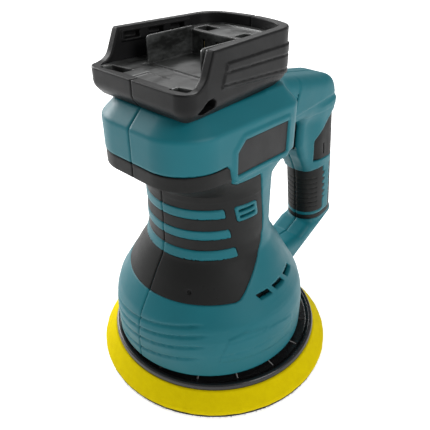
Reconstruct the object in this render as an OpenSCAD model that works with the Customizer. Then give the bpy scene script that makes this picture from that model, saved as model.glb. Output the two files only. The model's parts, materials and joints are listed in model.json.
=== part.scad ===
// Cordless dual action polisher with a hook-faced pad, a D handle and a slide-on battery dock.
// Origin: motor axis, at the underside of the pad. +Z up, -Y towards the battery's open end.

/* [Pad] */
// Diameter of the foam pad
pad_d = 180; // [178:1:182]
// Thickness of the hook layer under the foam
hook_t = 2.5; // [2:0.1:3]
// Thickness of the foam
foam_t = 14; // [13:0.5:14.5]
// Diameter of the stiff backing plate
plate_d = 159; // [155:1:162]
// Diameter of the circle that the pad's centre runs round
orbit_throw = 12; // [10:0.5:12]

/* [Housing] */
// Diameter of the bell round the counterweight
bell_d = 142; // [141:0.5:143]
// Diameter of the neck round the motor
neck_d = 85; // [84:0.5:86]
// Wall thickness of the housing
wall = 3; // [2.5:0.25:3.25]
// Thickness of the soft covers
cover_t = 1.2; // [1:0.1:1.4]
// Width of the head
head_w = 87; // [87:0.5:88]
// Height of the head's top, where the battery dock sits
head_top = 208; // [207:0.5:209]

/* [Battery dock] */
// Width of the dock at its open end
dock_w = 84.4; // [84:0.2:86]
// Width of the dock at its closed end
dock_rear_w = 72; // [71:0.5:73]
// Height of the dock
dock_h = 34.5; // [34:0.5:36]
// Wall thickness of the dock
dock_wall = 5.6; // [5.2:0.1:6]

/* [Handle] */
// Width of the grip
grip_w = 33.2; // [32:0.4:34]
// Depth of the grip, front to back
grip_depth = 40; // [39:0.5:41]
// Inward travel of the trigger
trigger_travel = 5; // [3:0.5:5]

/* [Motor] */
// Diameter of the stator
stator_d = 60; // [58:1:61]
// Length of the stator
stator_len = 36; // [30:1:38]
// Diameter of the motor shaft
shaft_d = 10; // [9.8:0.1:10]
// Diameter of the pad's spindle
spindle_d = 12; // [11.8:0.1:12]

/* [Hidden] */
$fn = 64;
eps = 0.05;                    // radial clearance of a running fit
ecc = orbit_throw / 2;         // distance from the motor axis to the spindle axis
plate_z = hook_t + foam_t;     // underside of the backing plate
bell_z = 26;                   // open bottom edge of the bell
cone_z = 80;                   // where the soft cover starts on the bell's shoulder
neck_z = 110;                  // foot of the neck
head_z = 154;                  // where the head's underside leaves the neck
bell_r = bell_d / 2;
neck_r = neck_d / 2;
shaft_r = shaft_d / 2;
spindle_r = spindle_d / 2;
bearing_r = 13;                // outer radius of a motor bearing
spindle_bearing_r = 16;        // outer radius of a spindle bearing
stator_z = 104;
head_front = -63;
head_rear = 44;
head_corner = 28;
dock_front = -58.3;
dock_rear = 44;
dock_floor = head_top + 16;
dock_top = head_top + dock_h;
pocket_x = 21.4;               // half-width of the dock's pocket
pocket_y = [-27.4, 7.9];
tray_points = [[24, -40], [20, 20]];    // tray screws on each side of the middle, X and Y
grip_r = grip_w / 2;
grip_foot = [133, 60];         // lower end of the grip's centre line, in Y and Z
grip_lean = 9.3;               // how far the grip leans back at its foot, in degrees
grip_len = 110;
wrap_span = [2, 58];           // span of the rubber wrap along the grip
palm_z = [122, 163];           // span of the palm pad on the grip's back and flanks
trigger_z = [137, 161];        // span of the trigger
trigger_back = 106;            // rear face of the trigger, in Y
trigger_half = 7.5;            // half-width of the trigger
flare_w = 26.4;                // width of the grip's cheeks beside the trigger
screw_points = [[-52, 186], [60, 190], [98, 187], [130, 76], [84, 42]];   // clamshell screws, Y and Z
big = 400;

teal = [0.16, 0.42, 0.46];
charcoal = [0.17, 0.17, 0.18];
rubber = [0.12, 0.12, 0.125];
steel = [0.62, 0.63, 0.65];
copper = [0.72, 0.42, 0.2];
brass = [0.75, 0.6, 0.3];

// Points along an arc about (cx, cy), from angle a0 to a1, in n steps.
function arc(cx, cy, r, a0, a1, n = 8) =
    [for (i = [0 : n]) let (a = a0 + (a1 - a0) * i / n) [cx + r * cos(a), cy + r * sin(a)]];

// Radius of the turned body: bell, shoulder and neck, drawn in by d.
function body_profile(d) = [
    [bell_r - d, bell_z], [bell_r - d, 48], [bell_r - 1 - d, 57], [bell_r - 3.7 - d, 66],
    [bell_r - 7.2 - d, 72], [bell_r - 12 - d, cone_z], [50.4 - d, 93], [45 - d, 104],
    [neck_r - d, neck_z + 3], [neck_r - d, head_z + 4]
];

module turned_body(d, low, high) {
    intersection() {
        rotate_extrude() polygon(concat([[0, bell_z]], body_profile(d), [[0, head_z + 4]]));
        translate([0, 0, low]) cylinder(r = big, h = high - low);
    }
}

// One half of the whole: side 1 keeps +X, side -1 keeps -X.
module half(side) {
    intersection() {
        children();
        translate([side > 0 ? 0 : -big, -big, -1]) cube([big, 2 * big, big]);
    }
}

module ring(ro, ri, z, h) {
    translate([0, 0, z]) difference() {
        cylinder(r = ro, h = h);
        translate([0, 0, -1]) cylinder(r = ri, h = h + 2);
    }
}

// Angle 0 faces the battery's open end; positive turns towards +X.
module at_angle(a, r = 0) {
    rotate([0, 0, a - 90]) translate([r, 0, 0]) children();
}

// Pie slice between two angles, for cutting turned parts.
module slice(a0, a1, z0, z1, r = 150) {
    mid = (a0 + a1) / 2;
    translate([0, 0, z0]) linear_extrude(z1 - z0)
        polygon([[0, 0], [r * cos(a0 - 90), r * sin(a0 - 90)],
                 [r * cos(mid - 90) * 1.4, r * sin(mid - 90) * 1.4],
                 [r * cos(a1 - 90), r * sin(a1 - 90)]]);
}

// ---------- pad ----------

module hook_layer() {
    color(rubber) translate([0, ecc, 0]) cylinder(d = pad_d - 3, h = hook_t);
}

module foam_pad() {
    r = pad_d / 2;
    color("gold") translate([0, ecc, hook_t]) rotate_extrude()
        polygon([[0, 0], [r - 1, 0], [r, 1.5], [r, 3.5], [plate_d / 2 + 1, foam_t], [0, foam_t]]);
}

module backing_plate() {
    r = plate_d / 2;
    color(rubber) translate([0, ecc, plate_z]) difference() {
        rotate_extrude()
            polygon([[4.05, 2], [12.1, 2], [12.1, 0], [r, 0], [r, 2.5], [r - 1.5, 4.5], [r - 4, 4.5],
                     [r - 6, 3.2], [20, 3.2], [17, 6.5], [4.05, 6.5]]);
        for (i = [0 : 7]) at_angle(i * 45) translate([45, 0, 2]) cylinder(r = 4, h = 4);
    }
}

module pad_stud() {
    color(steel) translate([0, ecc, plate_z]) {
        translate([0, 0, 0]) cylinder(r = 12, h = 2);
        cylinder(r = 4, h = 22);
    }
}

module felt_washer() {
    color("dimgray") translate([0, ecc, 0]) ring(13, 4.2, plate_z + 6.5, 1);
}

module spindle() {
    z0 = plate_z + 7.5;
    color(steel) translate([0, ecc, z0]) difference() {
        union() {
            intersection() {
                cylinder(r = 13, h = 4);
                translate([-11, -20, 0]) cube([22, 40, 4]);
            }
            cylinder(r = spindle_r, h = 30);
        }
        translate([0, 0, -1]) cylinder(r = 4.05, h = 18);
        ring(spindle_r + 1, spindle_r - 0.5, 28.2, 1.1);
    }
}

module spindle_clip() {
    color(steel) translate([0, ecc, plate_z + 7.5]) difference() {
        ring(9, spindle_r - 0.45, 28.25, 1);
        translate([-1.5, 0, 27]) cube([3, 20, 4]);
    }
}

module ball_bearing(ro, ri, z, h) {
    mid = (ro + ri) / 2;
    translate([0, 0, z]) rotate_extrude()
        polygon([[ri, 0], [mid - 1.5, 0], [mid - 1.5, 0.6], [mid + 1.5, 0.6], [mid + 1.5, 0], [ro, 0],
                 [ro, h], [mid + 1.5, h], [mid + 1.5, h - 0.6], [mid - 1.5, h - 0.6], [mid - 1.5, h],
                 [ri, h]]);
}

module spindle_bearing_lower() {
    color(steel) translate([0, ecc, 0])
        ball_bearing(spindle_bearing_r - eps, spindle_r + eps, 30.6, 10);
}

module spindle_bearing_upper() {
    color(steel) translate([0, ecc, 0])
        ball_bearing(spindle_bearing_r - eps, spindle_r + eps, 41, 10);
}

module bearing_retainer() {
    color("dimgray") translate([0, ecc, 0]) difference() {
        ring(spindle_bearing_r - eps, 13.6, 29.2, 1.2);
        translate([-3, 0, 28]) cube([6, 20, 4]);
    }
}

// ---------- eccentric ----------

module eccentric_hub() {
    color("silver") difference() {
        union() {
            translate([0, ecc, 29]) cylinder(r = 20, h = 31);
            translate([0, 0, 52]) cylinder(r = 14.5, h = 8);
            translate([0, 0, 60]) cylinder(r = 10, h = 6);
            translate([-15, -30, 52]) cube([30, 25, 4]);
        }
        translate([0, ecc, 28]) cylinder(r = spindle_bearing_r, h = 27);
        translate([0, 0, 50]) cylinder(r = shaft_r + eps, h = 20);
        for (s = [-1, 1]) translate([s * 9, -24, 50]) cylinder(r = 2.2, h = 10);
    }
}

module counterweight() {
    color("dimgray") difference() {
        intersection() {
            union() {
                ring(48, 21, 40, 12);
                ring(48, 34, 52, 6);
            }
            slice(-58, 58, 39, 60);
        }
        for (s = [-1, 1]) translate([s * 9, -24, 44]) cylinder(r = 1.95, h = 10);
    }
}

module counterweight_screws() {
    color(steel) for (s = [-1, 1]) translate([s * 9, -24, 46]) {
        cylinder(r = 1.9, h = 10);
        translate([0, 0, 10]) difference() {
            cylinder(r = 3.5, h = 3);
            translate([0, 0, 1.5]) cylinder(r = 1.6, h = 2, $fn = 6);
        }
    }
}

// ---------- motor ----------

module motor_shaft() {
    color(steel) translate([0, 0, 55.5]) cylinder(r = shaft_r, h = 109.5);
}

module fan() {
    color("black") difference() {
        union() {
            translate([0, 0, 84]) cylinder(r = 38, h = 2);
            translate([0, 0, 84]) cylinder(r = 9, h = 11);
            for (i = [0 : 10]) at_angle(i * 360 / 11) rotate([0, 0, 8])
                translate([14, -0.8, 85.5]) cube([23, 1.6, 8]);
        }
        translate([0, 0, 83]) cylinder(r = shaft_r + eps, h = 14);
    }
}

module rotor_core() {
    color("gray") difference() {
        ring(13, shaft_r + eps, stator_z, stator_len);
        for (i = [0 : 5]) at_angle(i * 60 + 30, 9) translate([0, 0, stator_z - 1])
            cylinder(r = 1.2, h = stator_len + 2);
    }
}

module rotor_magnets() {
    color("darkslategray") difference() {
        ring(15, 13.05, stator_z, stator_len);
        for (i = [0 : 3]) at_angle(i * 90 + 45) translate([11, -0.6, stator_z - 1])
            cube([6, 1.2, stator_len + 2]);
    }
}

module lower_bearing() {
    color(steel) ball_bearing(bearing_r - eps, shaft_r + eps, 73, 8);
}

module upper_bearing() {
    color(steel) ball_bearing(bearing_r - eps, shaft_r + eps, 156.5, 8);
}

module bearing_plate() {
    color("silver") difference() {
        union() {
            translate([0, 0, 68]) cylinder(r = 60, h = 4);
            translate([0, 0, 68]) cylinder(r = 17, h = 14);
        }
        translate([0, 0, 67]) cylinder(r = 10.6, h = 20);
        translate([0, 0, 73]) cylinder(r = bearing_r, h = 10);
        for (i = [0 : 3]) at_angle(i * 90 + 45, 49) translate([0, 0, 67]) cylinder(r = 2.2, h = 8);
        for (i = [0 : 3]) at_angle(i * 90, 38) translate([0, 0, 67]) cylinder(r = 9, h = 8);
    }
}

module bearing_plate_screws() {
    color(steel) for (i = [0 : 3]) at_angle(i * 90 + 45, 49) {
        translate([0, 0, 65]) difference() {
            cylinder(r = 3.8, h = 3);
            translate([0, 0, -0.5]) cylinder(r = 1.7, h = 2, $fn = 6);
        }
        translate([0, 0, 68]) cylinder(r = 1.9, h = 13);
    }
}

module motor_cap() {
    color("silver") difference() {
        union() {
            translate([0, 0, 151]) cylinder(r = 36, h = 3);
            translate([0, 0, 151]) cylinder(r = 17, h = 14);
        }
        translate([0, 0, 150]) cylinder(r = 8, h = 20);
        translate([0, 0, 156.5]) cylinder(r = bearing_r, h = 10);
        for (i = [0 : 5]) at_angle(i * 60 + 30, 26) translate([0, 0, 150]) cylinder(r = 5, h = 6);
    }
}

module stator_star(z, h, r_out, r_in, tooth) {
    difference() {
        union() {
            ring(r_out, r_in, z, h);
            for (i = [0 : 5]) at_angle(i * 60) translate([16.5, -tooth / 2, z]) cube([10, tooth, h]);
        }
        translate([0, 0, z - 1]) cylinder(r = 15.6, h = h + 2);
    }
}

module stator_core() {
    color("gray") stator_star(stator_z, stator_len, stator_d / 2, 25.5, 5);
}

module stator_insulators() {
    color("ivory") {
        stator_star(stator_z - 1.5, 1.5, stator_d / 2 - 1.5, 25.5, 5.6);
        stator_star(stator_z + stator_len, 1.5, stator_d / 2 - 1.5, 25.5, 5.6);
    }
}

module stator_windings() {
    color(copper) for (i = [0 : 5]) at_angle(i * 60) translate([17.6, 0, stator_z - 4.5])
        difference() {
            translate([0, -5.2, 0]) cube([6.4, 10.4, stator_len + 9]);
            translate([-1, -2.9, 2.9]) cube([9, 5.8, stator_len + 3.2]);
        }
}

module sensor_board() {
    color("darkgreen") difference() {
        ring(28, 9, 146, 1.6);
        translate([-4, 20, 145]) cube([8, 10, 4]);
    }
}

module dust_skirt() {
    r = bell_r - wall - eps;
    color(rubber) rotate_extrude()
        polygon([[r - 3.5, 22.8], [r - 1.5, 22.3], [r, 25], [r, 37], [r - 2.5, 37], [r - 2.5, 28]]);
}

// ---------- housing ----------

// Plan outline of the head: round front corners and straight sides.
module head_plan(d) {
    w = head_w / 2 - d;
    r = head_corner - d;
    for (s = [-1, 1]) translate([s * (w - r), head_front + d + r]) circle(r = r);
    translate([-(w - r), head_front + d]) square([2 * (w - r), head_rear - head_front - 2 * d]);
    translate([-w, head_front + d + r]) square([2 * w, head_rear - head_front - 2 * d - r]);
}

// Head: its plan, trimmed by its outlines seen from the side and from the front.
module head_shell() {
    w = head_w / 2;
    intersection() {
        translate([0, 0, head_z]) linear_extrude(head_top - head_z) head_plan(0);
        side_slab(2 * head_w) polygon([[head_front, 168], [head_front, 198], [head_front + 9, head_top],
                               [head_rear, head_top], [head_rear, 160], [head_rear - 4, head_z],
                               [-neck_r, head_z]]);
        translate([0, 100, 0]) rotate([90, 0, 0]) linear_extrude(200)
            polygon([[-w, 165], [-w, 198], [-w + 7, head_top], [w - 7, head_top], [w, 198], [w, 165],
                     [neck_r - 1, head_z], [1 - neck_r, head_z]]);
    }
}

// Outline in Y and Z, given the thickness of a slab centred on the clamshell's split.
module side_slab(t) {
    rotate([90, 0, 90]) translate([0, 0, -t / 2]) linear_extrude(t) children();
}

// Grip as a round-ended bar along its leaning centre line; t is how far it is drawn in.
module grip_bar(t, low = 0, high = grip_len) {
    off = (grip_depth - grip_w) / 2;
    r = grip_r - t;
    translate([0, grip_foot[0], grip_foot[1]]) rotate([grip_lean, 0, 0])
        translate([0, 0, low]) linear_extrude(high - low) union() {
            for (s = [-1, 1]) translate([0, s * off]) circle(r = r);
            translate([-r, -off]) square([2 * r, 2 * off]);
        }
}

// Band across the grip between two heights, square to its lean.
module grip_zone(low, high) {
    translate([0, grip_foot[0], grip_foot[1]]) rotate([grip_lean, 0, 0])
        translate([-40, -40, low]) cube([80, 80, high - low]);
}

module palm_zone() {
    side_slab(80) polygon([[108, palm_z[0]], [106, 141], [113, 149], [119, 156],
                           [124, palm_z[1]], [175, palm_z[1]], [175, palm_z[0]]]);
}

// Arm from the head's back to the top of the grip.
module arm_bar() {
    slope = atan2(12, 74);
    intersection() {
        side_slab(38) polygon(concat(
            [[34, 206], [108, 194]], arc(111, 174, 20, 80, -10, 8),
            [[133, 162], [98, 162], [92, 166]], arc(64, 145, 20, 90, 160, 6), [[34, 155]]));
        translate([0, 30, 207]) rotate([-90 - slope, 0, 0]) linear_extrude(120) union() {
            for (s = [-1, 1]) translate([s * 9, 10]) circle(r = 10);
            translate([-9, 0]) square([18, 60]);
            translate([-19, 10]) square([38, 60]);
        }
    }
}

// Foot of the handle, from the grip's lower end to the bell.
module strut_bar() {
    difference() {
        side_slab(grip_w) polygon([[60, 32], [92, 31], [132, 51], [146, 60], [148, 64],
                                   [112, 57.5], [100, 51], [60, 53]]);
        translate([0, 0, bell_z - 1]) cylinder(r = bell_r - 2, h = 60);
    }
}

// Cheeks of the grip on each side of the trigger, under the arm.
module grip_flare() {
    side_slab(flare_w) polygon([[88.5, 168], [88.5, 140], [94, 129], [101, 119.5], [108, 113],
                            [120, 113], [120, 168]]);
}

module housing_outer() {
    turned_body(0, bell_z, head_z);
    head_shell();
    arm_bar();
    grip_bar(cover_t);
    difference() {
        union() {
            grip_bar(0);
            grip_flare();
        }
        grip_zone(wrap_span[0], wrap_span[1]);
        palm_zone();
    }
    strut_bar();
}

// Side view of the soft cover: level on the bell's shoulder, slanted up to the neck's flank.
module cover_zone() {
    side_slab(200) polygon([[-90, cone_z], [-25, cone_z], [-1, 100], [9.7, 116], [7, 140],
                            [4, head_z], [-90, head_z]]);
}

// Shell of the soft cover round the turned body.
module cover_skin() {
    difference() {
        intersection() {
            turned_body(0, cone_z, head_z);
            cover_zone();
        }
        turned_body(cover_t, cone_z - 1, head_z + 1);
        stripe_zone();
    }
}

// Raised stripes of the housing that show through the soft cover.
module stripe_zone() {
    for (s = [[106.5, 69], [121.5, 63], [137, 58]])
        slice(-s[1], s[1], s[0], s[0] + 6.3);
}

// Ribs that hold the stator, posts for the bearing plate, and ledges for the motor cap.
module motor_mounts() {
    for (i = [0 : 3]) at_angle(i * 90 + 45) {
        translate([stator_d / 2 + eps, -2, stator_z])
            cube([neck_r - stator_d / 2 - cover_t - 1, 4, stator_len]);
        translate([49, 0, 72]) cylinder(r = 4.5, h = 13);
        translate([34, -3, 147]) cube([7, 6, 4]);
    }
}

module bosses() {
    for (p = screw_points) translate([0, p[0], p[1]]) rotate([0, 90, 0]) cylinder(r = 5, h = 14);
}

// Screw holes of one half; the half that the screws enter has holes for their heads too.
module screw_holes(entry) {
    for (p = screw_points) translate([0, p[0], p[1]]) rotate([0, 90, 0]) {
        translate([0, 0, -1]) cylinder(r = entry ? 1.8 : 1.6, h = 11);
        if (entry) translate([0, 0, 9]) cylinder(r = 3.2, h = 60);
    }
    for (i = [0 : 3]) at_angle(i * 90 + 45, 49) translate([0, 0, 71]) cylinder(r = 1.95, h = 12);
}

// Hollows of the bell, neck, head, arm and grip.
module housing_hollows() {
    turned_body(wall, bell_z, head_z);
    translate([0, 0, bell_z - 1]) cylinder(r = bell_r - wall, h = 3);
    translate([0, 0, head_z - 1]) cylinder(r = neck_r - wall, h = 20);
    translate([0, 0, 168]) linear_extrude(head_top - 4 - 168) head_plan(wall + 8);
    translate([-15, 30, 171]) cube([30, 80, 12]);
    grip_bar(cover_t + 2.6, 8, grip_len - 2);
}

// The +X half of the housing, before any mirroring.
module housing_half(entry) {
    half(1) difference() {
        housing_outer();
        difference() {
            housing_hollows();
            motor_mounts();
            bosses();
        }
        screw_holes(entry);
        // way up for the battery leads
        translate([0, 20, head_top - 10]) cylinder(r = 9, h = 20);
        // trigger slot
        translate([-trigger_half - 0.4, 80, trigger_z[0] - 0.4])
            cube([2 * trigger_half + 0.8, 30, trigger_z[1] - trigger_z[0] + 0.8]);
        cover_skin();
        badge_zone();
        // shoulder vents
        for (a = [82.5, 97.5, 114.5]) at_angle(a) translate([45, -5, 77.4]) cube([30, 10, 3]);
    }
}

module housing_left() { color(teal) mirror([1, 0, 0]) housing_half(true); }
module housing_right() { color(teal) housing_half(false); }

module housing_screws() {
    color(steel) for (p = screw_points) translate([0, p[0], p[1]]) rotate([0, 90, 0]) {
        translate([0, 0, -9]) cylinder(r = 1.55, h = 18);
        translate([0, 0, -11.5]) cylinder(r = 3, h = 2.5);
    }
}

module neck_cover(side) {
    color(rubber) half(side) cover_skin();
}

module neck_cover_left() { neck_cover(-1); }
module neck_cover_right() { neck_cover(1); }

// Seats of the name plates on both flanks of the head, with one corner cut off.
module badge_zone() {
    difference() {
        side_slab(head_w + 1) polygon([[-20.5, 168.5], [26.5, 168.5], [26.5, 189.5], [-15, 189.5],
                                       [-20.5, 184]]);
        side_slab(head_w - 2) square([200, 600], center = true);
    }
}

module badge(side) {
    color(charcoal) half(side) intersection() {
        badge_zone();
        side_slab(head_w - 0.4) square([200, 600], center = true);
    }
}

module badge_left() { badge(-1); }
module badge_right() { badge(1); }

module grip_wrap(side) {
    color(rubber) half(side) difference() {
        intersection() {
            grip_bar(0);
            grip_zone(wrap_span[0], wrap_span[1]);
        }
        grip_bar(cover_t, -1, grip_len + 1);
        strut_bar();
    }
}

module grip_wrap_left() { grip_wrap(-1); }
module grip_wrap_right() { grip_wrap(1); }

module palm_pad(side) {
    color(rubber) half(side) difference() {
        intersection() {
            grip_bar(0);
            palm_zone();
        }
        grip_bar(cover_t, -1, grip_len + 1);
        arm_bar();
    }
}

module palm_pad_left() { palm_pad(-1); }
module palm_pad_right() { palm_pad(1); }

// ---------- switch and electronics ----------

module trigger() {
    z0 = trigger_z[0];
    h = trigger_z[1] - z0;
    color(rubber) translate([-trigger_half, 0, z0]) rotate([90, 0, 90]) linear_extrude(2 * trigger_half)
        polygon(concat(arc(90, 6, 6, 260, 180, 6), arc(90.5, h - 6, 6, 180, 110, 6),
                       [[trigger_back - 2, h], [trigger_back, h - 1],
                        [trigger_back, 2], [trigger_back - 2, 0]]));
}

module trigger_spring() {
    color(steel) translate([0, trigger_back + 0.2, 146]) rotate([-90, 0, 0]) for (i = [0 : 3])
        translate([0, 0, i * 1.3]) ring(3, 2.2, 0, 0.8);
}

module switch_body() {
    color("black") translate([-8, trigger_back + trigger_travel + 0.5, 131]) cube([16, 15, 28]);
}

module controller_board() {
    color("darkgreen") translate([-28, -42, 176]) cube([56, 70, 1.6]);
}

module board_parts() {
    color("gray") {
        for (i = [0 : 2]) translate([-16 + i * 13, -30, 177.6]) cylinder(r = 5, h = 12);
        for (i = [0 : 5]) translate([-25 + i * 8.5, -16, 177.6]) cube([6, 5, 3]);
        translate([-12, 20, 177.6]) cube([24, 6, 8]);
    }
}

module heat_sink() {
    color("silver") {
        translate([-24, -8, 177.6]) cube([48, 24, 3]);
        for (i = [0 : 8]) translate([-24 + i * 5.8, -8, 180.6]) cube([1.6, 24, 9]);
    }
}

module motor_leads() {
    color("maroon") for (i = [-1 : 1]) at_angle(150, 26) translate([0, i * 2.9, 147.7])
        cylinder(r = 1.3, h = 28.2);
}

module battery_leads() {
    color("crimson") for (s = [-1, 1]) translate([s * 5, 22, 185.7]) cylinder(r = 1.6, h = 32.2);
}

// ---------- battery dock ----------

// Plan outline of the dock, drawn in by d: wide open end, narrower closed end.
module dock_plan(d) {
    w0 = dock_w / 2 - d;
    w1 = dock_rear_w / 2 - d;
    corner = max(9 - d, 1);
    bow = 7;                       // how far the closed end bulges
    polygon(concat(
        arc(w0 - corner, dock_front + d + corner, corner, -90, 0),
        arc(w1 - 7, dock_rear - bow - 7 - d, 7, 0, 70, 5),
        [[w1 / 2, dock_rear - 1.4 - d], [0, dock_rear - d], [-w1 / 2, dock_rear - 1.4 - d]],
        arc(-(w1 - 7), dock_rear - bow - 7 - d, 7, 110, 180, 5),
        arc(-(w0 - corner), dock_front + d + corner, corner, 180, 270)
    ));
}

// Space swept away above the lip at the open end, seen from the side.
module mouth_cut() {
    rotate([90, 0, 90]) translate([0, 0, -60]) linear_extrude(120)
        polygon(concat([[-90, dock_floor + 0.5]], arc(-51, dock_floor + 8.5, 8, -90, -18, 6),
                       [[-37, dock_top + 1], [-90, dock_top + 1]]));
}

module dock_shell(side) {
    color(charcoal) half(side) difference() {
        union() {
            hull() {
                translate([0, 0, head_top]) linear_extrude(0.1) dock_plan(5);
                translate([0, 0, head_top + 5.9]) linear_extrude(0.1) dock_plan(0);
            }
            translate([0, 0, head_top + 5.9]) linear_extrude(dock_h - 5.9) dock_plan(0);
            intersection() {
                for (z = [218, 225.5, 233])
                    translate([0, 0, z]) linear_extrude(4) dock_plan(-0.6);
                translate([-60, -14, 0]) cube([120, 80, big]);
            }
        }
        translate([0, 0, dock_floor - 6]) linear_extrude(60) dock_plan(dock_wall);
        translate([0, 0, head_top + 2.5]) linear_extrude(5) dock_plan(12);
        translate([0, 20, head_top - 1]) cylinder(r = 9, h = 12);
        for (s = [-1, 1], p = tray_points) translate([s * p[0], p[1], head_top - 1])
            cylinder(r = 1.8, h = 30);
        mouth_cut();
    }
}

module dock_left() { dock_shell(-1); }
module dock_right() { dock_shell(1); }

module dock_tray() {
    d = dock_wall + 0.05;
    z = dock_floor - 6;
    color(charcoal) difference() {
        union() {
            translate([0, 0, z]) linear_extrude(6) dock_plan(d);
            // raised deck behind the pocket
            intersection() {
                translate([0, 0, z]) linear_extrude(18) dock_plan(d);
                translate([-50, pocket_y[1], z]) cube([100, 60, 18]);
            }
            // walls of the pocket
            for (s = [-1, 1]) translate([s * (pocket_x + 0.8) - 0.8, pocket_y[0], z])
                cube([1.6, pocket_y[1] - pocket_y[0] + 1, 20.5]);
            // rails that the battery's flanges slide under
            intersection() {
                translate([0, 0, dock_floor + 8]) linear_extrude(8) dock_plan(d);
                for (s = [-1, 1]) translate([s * 33 - 3.8, -33, 0]) cube([7.6, 42, big]);
            }
        }
        // pocket floor
        translate([-pocket_x, pocket_y[0], dock_floor - 3])
            cube([2 * pocket_x, pocket_y[1] - pocket_y[0], 3.1]);
        // latch seat in the front floor
        translate([-11, -52, dock_floor - 1.4]) cube([22, 12, 2]);
        // notches at the lip's corners
        for (s = [-1, 1]) translate([s * 26 - 5, -52.4, dock_floor - 4]) cube([10, 4, 5]);
        // notches in the deck
        for (s = [-1, 1]) translate([s * 16.5 - 5, 12, dock_floor + 9.5]) cube([10, 10, 8]);
        // recesses in the rails
        for (s = [-1, 1], y = [-26, -12, 2]) translate([s * 31 - 2.4, y - 3.5, dock_floor + 9])
            cube([4.8, 7, 6]);
        // seat of the terminal block, with the blades' slots
        translate([-16, 12, z - 1]) cube([32, 20, 15]);
        for (x = [-11, 0, 11]) translate([x - 0.8, 4, dock_floor + 1]) cube([1.6, 10, 7]);
        for (s = [-1, 1], p = tray_points) translate([s * p[0], p[1], z - 1]) cylinder(r = 1.3, h = 5);
    }
}

module tray_screws() {
    color(steel) for (s = [-1, 1], p = tray_points) translate([s * p[0], p[1], head_top]) {
        translate([0, 0, 2.6]) cylinder(r = 3, h = 2);
        translate([0, 0, 4.6]) cylinder(r = 1.25, h = 9);
    }
}

module terminal_block() {
    color("black") difference() {
        translate([-15.5, 12.5, dock_floor - 6]) cube([31, 19, 13.5]);
        for (x = [-11, 0, 11]) translate([x - 0.85, 12, dock_floor + 1]) cube([1.7, 14, 7]);
    }
}

module battery_contacts() {
    color(brass) for (x = [-11, 0, 11]) translate([x - 0.6, 9, dock_floor + 1.5])
        cube([1.2, 16, 5.5]);
}

hook_layer();
foam_pad();
backing_plate();
pad_stud();
felt_washer();
spindle();
spindle_clip();
spindle_bearing_lower();
spindle_bearing_upper();
bearing_retainer();
eccentric_hub();
counterweight();
counterweight_screws();
motor_shaft();
fan();
rotor_core();
rotor_magnets();
lower_bearing();
upper_bearing();
bearing_plate();
bearing_plate_screws();
motor_cap();
stator_core();
stator_insulators();
stator_windings();
sensor_board();
dust_skirt();
housing_left();
housing_right();
neck_cover_left();
neck_cover_right();
badge_left();
badge_right();
housing_screws();
grip_wrap_left();
grip_wrap_right();
palm_pad_left();
palm_pad_right();
trigger();
trigger_spring();
switch_body();
controller_board();
board_parts();
heat_sink();
motor_leads();
battery_leads();
dock_left();
dock_right();
dock_tray();
tray_screws();
terminal_block();
battery_contacts();
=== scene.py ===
from concurrent.futures import ThreadPoolExecutor
from functools import reduce
import json
import math
import bpy
import numpy as np
from mathutils import Matrix, Vector


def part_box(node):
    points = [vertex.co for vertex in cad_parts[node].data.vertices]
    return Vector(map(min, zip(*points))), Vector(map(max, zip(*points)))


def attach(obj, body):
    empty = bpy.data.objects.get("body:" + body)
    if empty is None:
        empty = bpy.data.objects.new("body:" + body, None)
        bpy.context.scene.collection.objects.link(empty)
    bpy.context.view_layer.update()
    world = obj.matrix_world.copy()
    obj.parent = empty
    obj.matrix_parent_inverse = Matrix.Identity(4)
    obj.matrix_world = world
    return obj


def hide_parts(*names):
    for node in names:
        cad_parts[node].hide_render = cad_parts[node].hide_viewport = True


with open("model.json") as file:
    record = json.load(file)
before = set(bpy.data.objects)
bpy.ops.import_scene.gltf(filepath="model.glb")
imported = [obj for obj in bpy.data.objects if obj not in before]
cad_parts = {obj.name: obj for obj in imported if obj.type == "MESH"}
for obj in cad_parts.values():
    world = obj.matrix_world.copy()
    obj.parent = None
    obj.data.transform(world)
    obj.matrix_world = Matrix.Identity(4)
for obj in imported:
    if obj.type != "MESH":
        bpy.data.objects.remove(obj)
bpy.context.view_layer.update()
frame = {"nodes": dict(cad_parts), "record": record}

# Dual action polisher: its shells, covers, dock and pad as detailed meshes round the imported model.
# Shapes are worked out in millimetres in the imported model's frame: +Z up, battery opening at -Y,
# D handle at +Y, clamshell split at X = 0. The left half mirrors the right one.

MM = 0.001


def corners(node):
    """Lowest and highest corner of a CAD node, in millimetres."""
    low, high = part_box(node)
    return np.array(low) / MM, np.array(high) / MM


# -------- sizes taken from the frame

right_low, right_high = corners("housing_right")
dock_low, dock_high = corners("dock_right")
badge_low, badge_high = corners("badge_right")
foam_low, foam_high = corners("foam_pad")
plate_low, plate_high = corners("backing_plate")
skirt_low, skirt_high = corners("dust_skirt")
trigger_low, trigger_high = corners("trigger")
cover_low, _ = corners("neck_cover_right")

BELL_R = right_high[0]
BELL_Z = right_low[2]
HEAD_TOP = right_high[2]
HEAD_SETBACK = BELL_R - 63  # the head's front stands this far behind the bell's
HEAD_FRONT = right_low[1] + HEAD_SETBACK
SHOULDER_Z = cover_low[2]
DOCK_FRONT, DOCK_REAR = dock_low[1], dock_high[1]
DOCK_TOP = dock_high[2]
DOCK_HALF = dock_high[0]
ECC = (foam_low[1] + foam_high[1]) / 2  # how far the pad's axis is off the motor's
PAD_R = (foam_high[0] - foam_low[0]) / 2
PLATE_R = (plate_high[0] - plate_low[0]) / 2

# -------- distance fields

# A field gives each point's distance to a solid's surface, negative inside the solid.


def union(a, b, blend=0.0):
    """Both solids; blend is the width of the fillet where they meet."""
    if not blend:
        return np.minimum(a, b)
    h = np.clip(0.5 + 0.5 * (b - a) / blend, 0, 1)
    return b + (a - b) * h - blend * h * (1 - h)


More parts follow.
